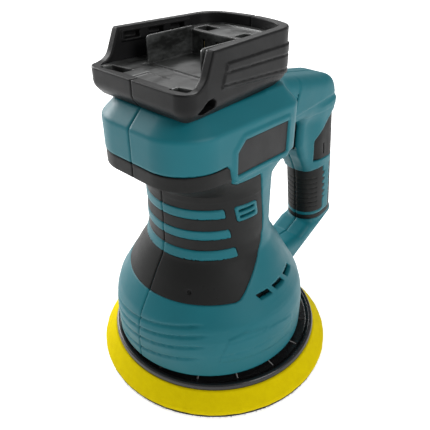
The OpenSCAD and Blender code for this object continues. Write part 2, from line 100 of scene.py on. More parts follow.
def union_of(fields):
    """Several solids as one, with no fillets."""
    return reduce(union, fields)


def common(a, b, blend=0.0):
    """What lies in both solids; blend rounds the edge between them."""
    return -union(-a, -b, blend)


def cut(a, b, blend=0.0):
    """The first solid without the second."""
    return -union(-a, b, blend)


def between(v, low, high):
    """Slab from low to high along one measure."""
    return np.abs(v - (low + high) / 2) - (high - low) / 2


def round_edge(a, b, r):
    """What lies in both solids, the edge between them rounded to a radius."""
    away = np.hypot(np.maximum(a + r, 0), np.maximum(b + r, 0))
    return away + np.minimum(np.maximum(a, b) + r, 0) - r


def outline(u, v, points, grow=0.0):
    """Distance to a closed outline in a plane, negative inside; grow rounds and widens it."""
    best = np.full(u.shape, np.inf, np.float32)
    inside = np.zeros(u.shape, bool)
    for (ax, ay), (bx, by) in zip(points, points[1:] + points[:1]):
        ex, ey = bx - ax, by - ay
        wx, wy = u - ax, v - ay
        t = np.clip((wx * ex + wy * ey) / (ex * ex + ey * ey), 0, 1)
        best = np.minimum(best, (wx - ex * t) ** 2 + (wy - ey * t) ** 2)
        if ay != by:
            inside ^= ((ay > v) != (by > v)) & (u < ax + (v - ay) * (ex / ey))
    return np.where(inside, -np.sqrt(best), np.sqrt(best)) - grow


def block(x, y, z, centre, half, r=0.0):
    """A box with rounded edges."""
    qx = np.abs(x - centre[0]) - half[0] + r
    qy = np.abs(y - centre[1]) - half[1] + r
    qz = np.abs(z - centre[2]) - half[2] + r
    away = np.sqrt(np.maximum(qx, 0) ** 2 + np.maximum(qy, 0) ** 2 + np.maximum(qz, 0) ** 2)
    return away + np.minimum(np.maximum(np.maximum(qx, qy), qz), 0) - r


def rounded_rectangle(u, v, half_u, half_v, r):
    """Distance to a rectangle with round corners, centred on the origin; r may be an array."""
    qu = np.abs(u) - half_u + r
    qv = np.abs(v) - half_v + r
    away = np.hypot(np.maximum(qu, 0), np.maximum(qv, 0))
    return away + np.minimum(np.maximum(qu, qv), 0) - r


def ease(t):
    """Smooth step from 0 to 1."""
    t = np.clip(t, 0, 1)
    return t * t * (3 - 2 * t)


# -------- from a field to a mesh

CORES = 4
BLOCK = 4  # grid points along one edge of a block
NEAR = 1.7  # a block's centre nearer than this many blocks may have the surface in its block
CHUNK = 3000  # blocks worked out at a time
BATCH = 100000  # points worked out at a time
PROBE = 0.04  # distance over which a slope is taken, in millimetres
MARGIN = 2.5  # grid steps left free round a solid
PULL = 0.04  # how strongly a mesh point is held to the middle of its crossings
SLACK = 0.05  # how far a mesh point may leave its cell, in cells


def sampled(field, points):
    """The field at many points, on every core."""
    parts = np.array_split(points.astype(np.float32), max(1, len(points) // BATCH))
    with ThreadPoolExecutor(CORES) as pool:
        return np.concatenate(list(pool.map(lambda p: field(p[:, 0], p[:, 1], p[:, 2]), parts)))


def grid_values(field, low, high, step):
    """Field values on a grid. Away from the surface, a block holds its centre's value."""
    size = step * BLOCK
    counts = np.ceil((high - low) / size).astype(int) + 1
    axes = [low[a] + (np.arange(counts[a]) + 0.5) * size - 0.5 * step for a in range(3)]
    centres = np.stack([g.ravel() for g in np.meshgrid(*axes, indexing="ij")], 1)
    coarse = sampled(field, centres).reshape(counts).astype(np.float32)
    values = coarse.repeat(BLOCK, 0).repeat(BLOCK, 1).repeat(BLOCK, 2)
    near = np.argwhere(np.abs(coarse) < size * NEAR)
    offsets = np.indices((BLOCK,) * 3).reshape(3, -1)

    def fill(start):
        cells = near[start:start + CHUNK][:, :, None] * BLOCK + offsets[None]
        at = [low[a] + cells[:, a] * step for a in range(3)]
        found = field(*[c.ravel().astype(np.float32) for c in at])
        values[cells[:, 0].ravel(), cells[:, 1].ravel(), cells[:, 2].ravel()] = found

    with ThreadPoolExecutor(CORES) as pool:
        list(pool.map(fill, range(0, len(near), CHUNK)))
    return values


def slopes(field, points):
    """Unit normals of the field, from four probes round each point."""
    total = np.zeros_like(points)
    for k in ((1, -1, -1), (-1, -1, 1), (-1, 1, -1), (1, 1, 1)):
        k = np.array(k, float)
        total += sampled(field, points + k * PROBE)[:, None] * k
    return total / np.maximum(np.linalg.norm(total, axis=1), 1e-9)[:, None]


def axis_crossings(field, values, low, step, axis):
    """Where the surface crosses the grid's edges along one axis: the points, the four cells
    round each edge, and whether the solid starts after the crossing."""
    inside = values < 0
    shape = values.shape
    one = [slice(None)] * 3
    two = [slice(None)] * 3
    one[axis], two[axis] = slice(None, -1), slice(1, None)
    at = np.argwhere(inside[tuple(one)] != inside[tuple(two)])
    b, c = (axis + 1) % 3, (axis + 2) % 3
    at = at[(at[:, b] > 0) & (at[:, c] > 0)]
    following = at.copy()
    following[:, axis] += 1
    v0 = values[at[:, 0], at[:, 1], at[:, 2]].astype(float)
    v1 = values[following[:, 0], following[:, 1], following[:, 2]].astype(float)
    t0, t1 = np.zeros(len(at)), np.ones(len(at))
    for _ in range(2):
        t = t0 + (t1 - t0) * np.clip(v0 / (v0 - v1), 0.02, 0.98)
        point = low + at * step
        point[:, axis] += t * step
        v = sampled(field, point)
        same = (v < 0) == (v0 < 0)
        t0, v0 = np.where(same, t, t0), np.where(same, v, v0)
        t1, v1 = np.where(same, t1, t), np.where(same, v1, v)
    point = low + at * step
    point[:, axis] += (t0 + (t1 - t0) * v0 / (v0 - v1 + 1e-12)) * step
    cells = []
    for db, dc in ((-1, -1), (0, -1), (0, 0), (-1, 0)):
        cell = at.copy()
        cell[:, b] += db
        cell[:, c] += dc
        cells.append((cell[:, 0] * shape[1] + cell[:, 1]) * shape[2] + cell[:, 2])
    return point, np.stack(cells, 1), ~inside[at[:, 0], at[:, 1], at[:, 2]]


def cell_points(crossing, normal, where, count):
    """One point per cell, as close as it can be to the tangent planes at its crossings."""
    crossing, normal = np.repeat(crossing, 4, 0), np.repeat(normal, 4, 0)
    used = np.bincount(where, minlength=count)
    mass = np.stack([np.bincount(where, crossing[:, a], count) for a in range(3)], 1) / used[:, None]
    offset = ((crossing - mass[where]) * normal).sum(1)
    right = np.stack([np.bincount(where, normal[:, a] * offset, count) for a in range(3)], 1)
    left = np.empty((count, 3, 3))
    for a in range(3):
        for b in range(3):
            left[:, a, b] = np.bincount(where, normal[:, a] * normal[:, b], count)
    left += np.eye(3) * PULL * used[:, None, None]
    return mass + np.linalg.solve(left, right[:, :, None])[:, :, 0]


def surface(field, low, high, step):
    """Mesh of the solid where the field is negative: one point in each cell that its surface
    crosses, placed so that edges and corners stay crisp."""
    low, high = np.array(low, float) - MARGIN * step, np.array(high, float) + MARGIN * step
    values = grid_values(field, low, high, step)
    found = [axis_crossings(field, values, low, step, axis) for axis in range(3)]
    crossing, cell, flip = (np.concatenate(parts) for parts in zip(*found))
    ids, where = np.unique(cell.ravel(), return_inverse=True)
    where = where.ravel()
    points = cell_points(crossing, slopes(field, crossing), where, len(ids))
    corner = low + np.stack(np.unravel_index(ids, values.shape), 1) * step
    points = np.clip(points, corner - SLACK * step, corner + (1 + SLACK) * step)
    quads = where.reshape(-1, 4)
    quads[flip] = quads[flip][:, ::-1]
    return points, quads


def lathe(profile, count, centre=(0.0, 0.0), wave=None):
    """Turned solid from a closed profile of radius and height; wave shifts its points."""
    profile = np.array(profile, float)
    angles = np.linspace(0, 2 * math.pi, count, endpoint=False)
    r = profile[None, :, 0] * np.ones((count, 1))
    z = profile[None, :, 1] * np.ones((count, 1))
    if wave is not None:
        r, z = wave(r, z, angles[:, None])
    points = np.stack([centre[0] + r * np.cos(angles)[:, None],
                       centre[1] + r * np.sin(angles)[:, None], z], 2).reshape(-1, 3)
    m = len(profile)
    i = np.arange(count)[:, None]
    j = np.arange(m)[None, :]
    quads = np.stack([i * m + j, (i + 1) % count * m + j,
                      (i + 1) % count * m + (j + 1) % m, i * m + (j + 1) % m], 2)
    return points, quads.reshape(-1, 4)


def rounded(points, r, steps=4):
    """A closed outline with its corners rounded to radius r, or less where an edge is short."""
    points = [np.array(p, float) for p in points]
    result = []
    for before, at, after in zip(points[-1:] + points[:-1], points, points[1:] + points[:1]):
        d0, d1 = before - at, after - at
        reach = min(r, 0.45 * np.linalg.norm(d0), 0.45 * np.linalg.norm(d1))
        start = at + d0 / np.linalg.norm(d0) * reach
        end = at + d1 / np.linalg.norm(d1) * reach
        for t in np.linspace(0, 1, steps + 1):
            result.append((1 - t) ** 2 * start + 2 * t * (1 - t) * at + t * t * end)
    return result


def joined(*meshes):
    """Several sets of points and quads as one."""
    points, quads, start = [], [], 0
    for p, q in meshes:
        points.append(p)
        quads.append(np.asarray(q) + start)
        start += len(p)
    return np.concatenate(points), np.concatenate(quads)


def mirrored(points, quads):
    """The same mesh on the other side of the clamshell's split."""
    return points * np.array([-1, 1, 1]), quads[:, ::-1]


def place(name, data):
    """An object with this data, in the scene."""
    obj = bpy.data.objects.new(name, data)
    bpy.context.scene.collection.objects.link(obj)
    return obj


def piece(name, shape, slot, stands_for, body="housing", material=None):
    """A Blender object from points in millimetres and quads, riding on a body. It stands for a CAD
    node, and its material is its slot's unless another is named."""
    points, quads = shape
    mesh = bpy.data.meshes.new(name)
    mesh.vertices.add(len(points))
    mesh.vertices.foreach_set("co", (points * MM).astype(np.float32).ravel())
    mesh.loops.add(quads.size)
    mesh.loops.foreach_set("vertex_index", quads.astype(np.int32).ravel())
    mesh.polygons.add(len(quads))
    mesh.polygons.foreach_set("loop_start", np.arange(0, quads.size, 4, dtype=np.int32))
    mesh.polygons.foreach_set("use_smooth", np.ones(len(quads), bool))
    mesh.update(calc_edges=True)
    mesh.validate()
    mesh.materials.append(MATERIALS[material or slot])
    obj = place(name, mesh)
    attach(obj, body)
    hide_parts(stands_for)
    return obj


# -------- materials


class Nodes:
    """Short hand for building a material's node tree."""

    def __init__(self, name):
        self.material = bpy.data.materials.new(name)
        self.material.use_nodes = True
        self.tree = self.material.node_tree
        self.shader = self.tree.nodes["Principled BSDF"]
        self.place = self.add("ShaderNodeTexCoord").outputs["Object"]

    def add(self, kind, **settings):
        """A node of one kind with these settings."""
        node = self.tree.nodes.new(kind)
        for key, value in settings.items():
            setattr(node, key, value)
        return node

    def join(self, source, target):
        """A link from an output to an input."""
        self.tree.links.new(source, target)

    def noise(self, scale, detail=3.0, roughness=0.55, stretch=None):
        """Cloudy noise in the piece's own space, finer for a higher scale."""
        node = self.add("ShaderNodeTexNoise")
        node.inputs["Scale"].default_value = scale
        node.inputs["Detail"].default_value = detail
        node.inputs["Roughness"].default_value = roughness
        place = self.place
        if stretch:
            mapping = self.add("ShaderNodeMapping")
            mapping.inputs["Scale"].default_value = stretch
            self.join(place, mapping.inputs["Vector"])
            place = mapping.outputs["Vector"]
        self.join(place, node.inputs["Vector"])
        return node.outputs["Fac"]

    def ramp(self, value, low, high, start=0.3, end=0.7):
        """Value mapped to a range, or to a blend of two colours."""
        if isinstance(low, tuple):
            node = self.add("ShaderNodeValToRGB")
            node.color_ramp.elements[0].position = start
            node.color_ramp.elements[0].color = low + (1,)
            node.color_ramp.elements[1].position = end
            node.color_ramp.elements[1].color = high + (1,)
            self.join(value, node.inputs["Fac"])
            return node.outputs["Color"]
        node = self.add("ShaderNodeMapRange")
        for key, number in (("From Min", start), ("From Max", end), ("To Min", low), ("To Max", high)):
            node.inputs[key].default_value = number
        self.join(value, node.inputs["Value"])
        return node.outputs["Result"]

    def bump(self, layers):
        """Stacked bumps: each layer is a height, its strength and its depth in millimetres."""
        last = None
        for height, strength, depth in layers:
            node = self.add("ShaderNodeBump")
            node.inputs["Strength"].default_value = strength
            node.inputs["Distance"].default_value = depth * MM
            self.join(height, node.inputs["Height"])
            if last:
                self.join(last, node.inputs["Normal"])
            last = node.outputs["Normal"]
        self.join(last, self.shader.inputs["Normal"])

    def finish(self, colour, roughness, **numbers):
        """The finished material; numbers are other inputs of its shader."""
        self.join(colour, self.shader.inputs["Base Color"])
        self.join(roughness, self.shader.inputs["Roughness"])
        for key, number in numbers.items():
            self.shader.inputs[key.replace("_", " ")].default_value = number
        return self.material


def moulded(name, base, vary, rough, grain=2600.0, texture=0.22, coat=0.0, specular=0.5):
    """Moulded plastic: fine spark-eroded grain, slow sink and a little dust and handling wear."""
    n = Nodes(name)
    low, high = tuple(c * (1 - vary) for c in base), tuple(c * (1 + vary) for c in base)
    colour = n.ramp(n.noise(26.0, 4.0), low, high)
    roughness = n.ramp(n.noise(70.0, 5.0, 0.65), rough - 0.05, rough + 0.07)
    fine = n.noise(grain, 2.0)
    sink = n.noise(38.0, 1.0)
    n.bump([(fine, texture, 0.12), (sink, 0.12, 0.35)])
    return n.finish(colour, roughness, Coat_Weight=coat, Coat_Roughness=0.25,
                    Specular_IOR_Level=specular)


def scuffed_with_sheen(name, dark, light):
    """Worn plastic: pale streaks, partly rubbed pale by a part that slides along it and partly painted
    reflection of the lamps above, over a fine grain.
    """
    n = Nodes(name)
    streak = n.noise(70.0, 9.0, 0.75, stretch=(1.0, 0.4, 1.0))
    # pale streaks: partly wear, partly painted reflection
    colour = n.ramp(streak, dark, light, 0.42, 0.74)
    roughness = n.ramp(streak, 0.26, 0.42)
    n.bump([(n.noise(1800.0, 2.0), 0.06, 0.1), (streak, 0.15, 0.15)])
    return n.finish(colour, roughness, Specular_IOR_Level=0.45)


def foam_material():
    """Open-cell foam: pores of two sizes and a slightly mottled colour."""
    n = Nodes("foam_yellow")
    mottle = n.noise(140.0, 6.0, 0.7)
    colour = n.ramp(mottle, (0.58, 0.45, 0.0), (0.64, 0.51, 0.001))
    pore = n.add("ShaderNodeTexVoronoi")
    pore.inputs["Scale"].default_value = 1500.0
    n.join(n.place, pore.inputs["Vector"])
    small, uneven = n.noise(3200.0, 3.0), n.noise(120.0, 2.0)
    n.bump([(pore.outputs["Distance"], 0.4, 0.35), (small, 0.3, 0.15), (uneven, 0.12, 0.5)])
    roughness = n.ramp(mottle, 0.86, 0.98)
    return n.finish(colour, roughness, Specular_IOR_Level=0.06)


def hook_material():
    """Woven hook tape: rows of tiny loops."""
    n = Nodes("hook_tape")
    wave = n.add("ShaderNodeTexWave", wave_type="BANDS", bands_direction="X")
    wave.inputs["Scale"].default_value = 420.0
    wave.inputs["Distortion"].default_value = 1.2
    n.join(n.place, wave.inputs["Vector"])
    fuzz = n.noise(2400.0, 4.0, 0.7)
    n.bump([(wave.outputs["Fac"], 0.7, 0.6), (fuzz, 0.6, 0.4)])
    return n.finish(n.ramp(fuzz, (0.006, 0.006, 0.0065), (0.022, 0.022, 0.023)), n.ramp(fuzz, 0.8, 1.0))


def metal(name, base, rough, brushed=(1.0, 1.0, 18.0), bump=0.12):
    """Turned or drawn metal with fine tool marks."""
    n = Nodes(name)
    marks = n.noise(900.0, 3.0, 0.6, stretch=brushed)
    stain = n.noise(60.0, 4.0)
    colour = n.ramp(stain, tuple(c * 0.86 for c in base), base)
    n.bump([(marks, bump, 0.05)])
    return n.finish(colour, n.ramp(marks, rough - 0.06, rough + 0.1), Metallic=1.0)


def banded(name, base, groove, direction, scale, distortion, bump, rough, **numbers):
    """Metal in thin layers or turns side by side, darker in the grooves between them: painted shade."""
    n = Nodes(name)
    wave = n.add("ShaderNodeTexWave", wave_type="BANDS", bands_direction=direction)
    wave.inputs["Scale"].default_value = scale
    wave.inputs["Distortion"].default_value = distortion
    n.join(n.place, wave.inputs["Vector"])
    # painted shade: the colour darkens in the grooves between layers or turns
    colour = n.ramp(wave.outputs["Fac"], tuple(c * groove for c in base), base)
    n.bump([(wave.outputs["Fac"], *bump)])
    cloud, low, high = rough
    return n.finish(colour, n.ramp(n.noise(cloud), low, high), **numbers)


def felted(name, base):
    """Pressed felt, all short fibres."""
    n = Nodes(name)
    fuzz = n.noise(1800.0, 6.0, 0.8)
    n.bump([(fuzz, 0.8, 0.5)])
    return n.finish(n.ramp(fuzz, tuple(c * 0.6 for c in base), base), n.ramp(fuzz, 0.85, 1.0))


TEAL = (0.004, 0.112, 0.139)
CHARCOAL = (0.0062, 0.0062, 0.0065)

MATERIALS = {
    "housing_plastic": moulded("teal_plastic", TEAL, 0.05, 0.46, texture=0.14, specular=0.22),
    "soft_cover": moulded("soft_rubber", (0.0045, 0.0048, 0.0046), 0.10, 0.55, grain=3400.0, texture=0.3,
                          specular=0.22),
    "dock_plastic": moulded("dock_plastic", CHARCOAL, 0.12, 0.44, texture=0.2, specular=0.17),
    # tray: its pale streak colour is partly wear and partly painted reflection of the lamps above
    "tray": scuffed_with_sheen("tray_plastic", (0.010, 0.0105, 0.010), (0.105, 0.11, 0.108)),
    "name_plate": moulded("name_plate", (0.007, 0.007, 0.0075), 0.05, 0.46, grain=3800.0, texture=0.2,
                          specular=0.25),
    "black_plastic": moulded("black_plastic", (0.008, 0.008, 0.0085), 0.08, 0.38, texture=0.12),
    "plate": moulded("plate_plastic", (0.007, 0.007, 0.0075), 0.06, 0.24, texture=0.06),
    "skirt": moulded("skirt_rubber", (0.006, 0.006, 0.0065), 0.08, 0.34, grain=3000.0, texture=0.1),
    "insulator": moulded("insulator_nylon", (0.62, 0.58, 0.44), 0.05, 0.45),
    "board": moulded("board_laminate", (0.010, 0.085, 0.030), 0.12, 0.35, grain=900.0, texture=0.3,
                     coat=0.5),
    "component": moulded("component_case", (0.05, 0.05, 0.055), 0.10, 0.4),
    "lead_red": moulded("lead_silicone", (0.36, 0.014, 0.012), 0.06, 0.42, texture=0.1),
    "foam": foam_material(),
    "hook": hook_material(),
    "felt": felted("felt_grey", (0.11, 0.11, 0.11)),
    "steel": metal("steel_bright", (0.60, 0.60, 0.61), 0.28),
    "aluminium": metal("aluminium_cast", (0.72, 0.73, 0.74), 0.42, (1.0, 1.0, 1.0), 0.3),
    "iron": metal("iron_phosphated", (0.16, 0.16, 0.165), 0.46, (1.0, 1.0, 1.0), 0.35),
    "magnet": metal("magnet_plated", (0.42, 0.42, 0.44), 0.3, (1.0, 1.0, 4.0)),
    "brass": metal("brass_contact", (0.72, 0.52, 0.22), 0.3, (1.0, 8.0, 1.0)),
    # the second number of each is how dark the painted shade in its grooves is
    "lamination": banded("lamination_steel", (0.42, 0.42, 0.43), 0.55, "Z", 500.0, 0.0, (0.5, 0.15),
                         (300.0, 0.35, 0.55), Metallic=0.9),
    "copper": banded("copper_winding", (0.80, 0.36, 0.16), 0.45, "DIAGONAL", 380.0, 0.6, (0.8, 0.4),
                     (200.0, 0.25, 0.4), Metallic=0.7, Coat_Weight=0.4),
}


def dress_cad_nodes():
    """Every CAD node that stays gets its slot's procedural material."""
    for row in frame["record"]["materials"]:
        for name in row.get("nodes", []):
            node = frame["nodes"][name]
            node.data.materials.clear()
            node.data.materials.append(MATERIALS[row["slot"]])


# -------- shape of the housing

DIAGONAL = 0.7071  # cosine of 45 degrees
WALL = 3.2  # housing wall
SKIN = 1.6  # soft covers
SKIN_PLAY = 0.05  # gap under a cover
PROUD = 0.35  # how far the teal stands above the covers
PLAY = 0.22  # gap round a cover
SPLIT = 0.05  # half of the gap between the clamshell's halves
SPLIT_EDGE = 1.3  # how widely the edges along the split are eased

# Radius of the bell, shoulder and neck by height.
NECK_R = 42.6
NECK_TOP = 160.0
PROFILE_LOW, PROFILE_HIGH = BELL_Z - 12, 180
PROFILE = [(PROFILE_LOW, BELL_R), (48, BELL_R), (57, BELL_R - 1), (66, BELL_R - 3.7),
           (72, BELL_R - 7.2), (SHOULDER_Z, BELL_R - 12), (92, 52.4), (104, 45.0), (113, NECK_R),
           (PROFILE_HIGH, NECK_R)]
PROFILE_STEP = 0.25
PROFILE_WINDOW = 25  # samples over which its corners are eased
PROFILE_Z = np.arange(PROFILE_LOW, PROFILE_HIGH, PROFILE_STEP)


def smooth_profile():
    """The profile with its corners eased, and how its slope shortens a level distance."""
    raw = np.interp(PROFILE_Z, [p[0] for p in PROFILE], [p[1] for p in PROFILE])
    kernel = np.hanning(PROFILE_WINDOW + 2)[1:-1]
    padded = np.pad(raw, PROFILE_WINDOW // 2, mode="edge")
    eased = np.convolve(padded, kernel / kernel.sum(), mode="valid")
    slope = np.gradient(eased, PROFILE_STEP)
    return eased, 1 / np.sqrt(1 + slope ** 2)


PROFILE_R, PROFILE_SHRINK = smooth_profile()


def turned(x, y, z):
    """The bell, shoulder and neck, turned round the motor axis."""
    r = np.hypot(x, y)
    return ((r - np.interp(z, PROFILE_Z, PROFILE_R))
            * np.interp(z, PROFILE_Z, PROFILE_SHRINK)).astype(np.float32)


HEAD_HALF = 43.5
HEAD_REAR = 44.0
HEAD_LOW = 148.0
FRONT_CORNER, REAR_CORNER = 28.0, 14.0
FLARE_LOW, FLARE_HIGH = 152.0, 168.0  # the head's slanted underside
BAND_TOP = 178.0  # top of the dark band round the head's front
BAND_GAP = 1.0  # shadow gap over that band
SHOULDER_TOP = 198.0  # where the head's top chamfer starts


def head_plan(x, y):
    """The head seen from above."""
    middle = (HEAD_FRONT + HEAD_REAR) / 2
    corner = np.where(y < middle, FRONT_CORNER, REAR_CORNER)
    return rounded_rectangle(x, y - middle, HEAD_HALF, (HEAD_REAR - HEAD_FRONT) / 2, corner)


def head_chamfer(plan, z):
    return (plan + z - SHOULDER_TOP) * DIAGONAL


def head(x, y, z):
    """The head: it widens out of the neck and is chamfered round its top."""
    plan = head_plan(x, y)
    rise = FLARE_HIGH - FLARE_LOW
    t = np.clip((z - FLARE_LOW) / rise, 0, 1)
    neck = np.hypot(x, y) - NECK_R
    side = (1 - t) * neck + t * plan
    slanted = (t > 0) & (t < 1)
    side = np.where(slanted, side / np.hypot(1, (neck - plan) / rise), side)
    solid = common(side, head_chamfer(plan, z), 1.2)
    return common(common(solid, z - HEAD_TOP, 0.8), HEAD_LOW - z)


ARM_FRONT, ARM_END = 30.0, 128.0
ARM_BOTTOM = 163.0
ARM_TOP_Y, ARM_TOP_Z = 34.0, 206.0  # a point on the arm's top, which slopes down to the rear
ARM_SLOPE = math.atan2(12, 74)
ARM_HALF = 17.0
LOW_RIDGE_Y, LOW_RIDGE_Z, LOW_RIDGE_RISE = 75, 163, 0.07  # a point on each ridge, and its slope
HIGH_RIDGE_Y, HIGH_RIDGE_Z, HIGH_RIDGE_RISE = 71, 171, 0.11
RIDGE_WIDTH = 1.6
SLIT_FOOT_Y, SLIT_FOOT_Z, SLIT_LEAN = 68, 174, 0.31


def slit_line(z):
    """Where the slit in front of the arm's cap runs."""
    return SLIT_FOOT_Y + (z - SLIT_FOOT_Z) * SLIT_LEAN


def arm(x, y, z):
    """The top arm. The cap over its end is wider, and steps in twice towards the grip."""
    top = (z - ARM_TOP_Z + (y - ARM_TOP_Y) * math.tan(ARM_SLOPE)) * math.cos(ARM_SLOPE)
    length = common(common(top, y - ARM_END, 14), ARM_BOTTOM - z, 7)
    low_step = ease((z - LOW_RIDGE_Z - (y - LOW_RIDGE_Y) * LOW_RIDGE_RISE) / RIDGE_WIDTH)
    high_step = ease((z - HIGH_RIDGE_Z - (y - HIGH_RIDGE_Y) * HIGH_RIDGE_RISE) / RIDGE_WIDTH)
    cap = 0.4 + 0.6 * ease((y - slit_line(z)) / 2)
    solid = common(length, np.abs(x) - (ARM_HALF + low_step + cap * high_step), 11)
    return common(solid, ARM_FRONT - y)


GRIP_FOOT_Y, GRIP_FOOT_Z = 133.0, 60.0
GRIP_LEAN = math.radians(9.3)
GRIP_HALF = 16.6
GRIP_STRAIGHT = 3.4  # flat stretch on each side of the oval section
GRIP_LEN = 110.0
# Side views of the strut and of the flare round the trigger.
STRUT = [(60, 32), (92, 31), (130, 50), (145, 58), (148, 63), (112, 57), (100, 51), (60, 53)]
GUARD = [(91, 172), (91, 140), (96, 130), (102, 121), (108, 114), (124, 114), (124, 172)]
GUARD_HALF = 13.2


def grip_frame(y, z):
    """Distances across and along the grip's leaning centre line."""
    dy, dz = y - GRIP_FOOT_Y, z - GRIP_FOOT_Z
    across = dy * math.cos(GRIP_LEAN) + dz * math.sin(GRIP_LEAN)
    along = -dy * math.sin(GRIP_LEAN) + dz * math.cos(GRIP_LEAN)
    return across, along


def grip(x, y, z, inset=0.0):
    """The grip's oval bar; inset gives the space inside a wall that thick."""
    across, along = grip_frame(y, z)
    section = np.hypot(x, np.maximum(np.abs(across) - GRIP_STRAIGHT, 0)) - GRIP_HALF + inset
    return common(common(section, inset - along, 3), along - GRIP_LEN)


def strut(x, y, z):
    """The strut from the bell up to the grip's foot."""
    return common(outline(y, z, STRUT), np.abs(x) - GRIP_HALF, 7)


def arm_and_strut(x, y, z):
    """What the grip's rubber stops at."""
    return union(arm(x, y, z), strut(x, y, z))


def outer(x, y, z):
    """The housing's outside, before covers, grooves and vents."""
    body = common(turned(x, y, z), BELL_Z - z, 2.0)
    body = common(body, z - NECK_TOP)
    body = union(body, head(x, y, z), 0.6)
    body = union(body, arm(x, y, z), 20)
    handle = union(grip(x, y, z), strut(x, y, z), 3)
    flare = round_edge(outline(y, z, GUARD, 2.5), np.abs(x) - GUARD_HALF, 5)
    return union(body, union(handle, flare, 7), 8)


NECK_BORE_TOP = 166.0
HEAD_FLOOR = 172.0
HEAD_ROOF = 4.0  # thickness of the head's top
ARM_DUCT, ARM_DUCT_HALF = (0, 70, 177), (14, 42, 6)
GRIP_WALL = 4.2
GRIP_BORE_LOW = 70.0


def hollow(x, y, z):
    """The space inside the housing."""
    space = common(turned(x, y, z) + WALL, z - NECK_BORE_TOP)
    plan = head_plan(x, y)
    under_top = common(z - HEAD_TOP + HEAD_ROOF, head_chamfer(plan, z) + WALL)
    in_head = common(common(plan + WALL + 1, HEAD_FLOOR - z), under_top)
    space = union(space, in_head, 3)
    space = union(space, block(x, y, z, ARM_DUCT, ARM_DUCT_HALF, 2), 2)
    return union(space, common(grip(x, y, z, GRIP_WALL), GRIP_BORE_LOW - z), 2)


def angle_of(x, y):
    """Degrees round the motor axis: 0 at the front, positive towards +X."""
    return np.degrees(np.arctan2(x, -y))


STRIPES = [(137.0, 58.0), (121.5, 63.0), (106.5, 69.0)]  # foot of each stripe and its half angle
STRIPE_H = 6.3
STRIPE_SAG = 1.3  # how far a stripe dips at the front


def stripes(x, y, z):
    """Teal stripes that show through the neck's cover, their ends cut on a slant."""
    angle = np.abs(angle_of(x, y))
    r = np.hypot(x, y)

    def stripe(foot, reach):
        middle = foot + STRIPE_H / 2 - STRIPE_SAG * np.cos(np.radians(angle)) + 0.6
        wide = (angle - reach) * np.radians(r) + (z - middle) * 0.25
        return common(np.abs(z - middle) - STRIPE_H / 2, wide, 1.6)
    return union_of(stripe(foot, reach) for foot, reach in STRIPES)


VENT_ANGLE, VENT_Z = 79.5, 138.0
VENT_HALF, VENT_TALL = 8.6, 5.6  # half sizes of the frame round the side vent
VENT_LEAN = 0.22
SLOT_HALF, SLOT_TALL = VENT_HALF - 2.2, 1.15
SLOT_OFFSET, SLOT_LEAN = 2.3, 0.05


def vent_place(x, y, z):
    """Place on the neck's flank in millimetres from the middle of the side vent."""
    across = (np.abs(angle_of(x, y)) - VENT_ANGLE) * math.radians(NECK_R)
    return across - (VENT_Z - z) * VENT_LEAN, z - VENT_Z


def vent_frame(x, y, z):
    u, v = vent_place(x, y, z)
    return rounded_rectangle(u, v, VENT_HALF, VENT_TALL, 1.6)


def vent_slots(x, y, z):
    """The side vent's two slots."""
    u, v = vent_place(x, y, z)
    return union_of(rounded_rectangle(u, v - offset - u * SLOT_LEAN, SLOT_HALF, SLOT_TALL, 1.0)
                    for offset in (SLOT_OFFSET, -SLOT_OFFSET))


# Side view of the soft cover on the neck and of the dark band that it carries round the head.
COVER = [(-95, SHOULDER_Z), (-28, SHOULDER_Z), (-24.5, 81), (-20, 84.5), (-12.7, 91), (-0.8, 101),
         (6.5, 109), (9.6, 117), (8.6, 128), (6.6, 140), (3.7, 158), (2.4, 161.5), (-18.5, 161.5),
         (-22.5, 163.5), (-25, 169), (-26, 174.5), (-29, BAND_TOP), (-95, BAND_TOP)]


def neck_zone(x, y, z):
    """Where the neck's cover lies, with gaps for the stripes and the side vent."""
    return common(common(outline(y, z, COVER), -stripes(x, y, z)), -vent_frame(x, y, z))


# Heights along the grip of its rubber, and how far its edges lie from the centre line.
BAND_LOW, BAND_HIGH = 2.0, 7.2
FRONT_LOW, FRONT_HIGH, FRONT_EDGE = 10.2, 56.0, 2.6
BACK_LOW, BACK_HIGH, BACK_EDGE = 4.0, 54.0, 6.4
TEETH_LOW, TEETH_HIGH = 20.0, 54.0
TOOTH_PITCH, TOOTH_DEPTH = 6.6, 2.6


def tooth(along):
    """Small rounded teeth along the edge of the grip's rubber."""
    wave = np.sin(along * (2 * math.pi / TOOTH_PITCH))
    teeth = TOOTH_DEPTH * ease(0.5 + wave * 1.6)
    return teeth * ease((along - TEETH_LOW) / 3) * ease((TEETH_HIGH - along) / 3)


def wrap_zone(x, y, z):
    """Rubber on the grip: a band at its foot, a front pad and a narrow strip at the back."""
    across, along = grip_frame(y, z)
    teeth = tooth(along)
    front = common(between(along, FRONT_LOW, FRONT_HIGH), across + FRONT_EDGE - teeth, 1.6)
    back = common(between(along, BACK_LOW, BACK_HIGH), BACK_EDGE - across + teeth * 0.6, 1.0)
    return union_of((between(along, BAND_LOW, BAND_HIGH), front, back))


PALM = [(108, 121.5), (106, 141), (113, 149), (119, 156), (124, 163), (176, 163), (176, 121.5)]


def palm_zone(x, y, z):
    return outline(y, z, PALM)


BELL_GROOVES = [(61.0, 44.0), (53.8, 46.0), (45.4, 45.0), (35.2, 41.0)]  # height, right end's angle
GROOVE_LEFT = -112.0  # angle of every groove's left end
GROOVE_RISE = 0.19
GROOVE_DEPTH = 1.25
GROOVE_REAR = 30.0


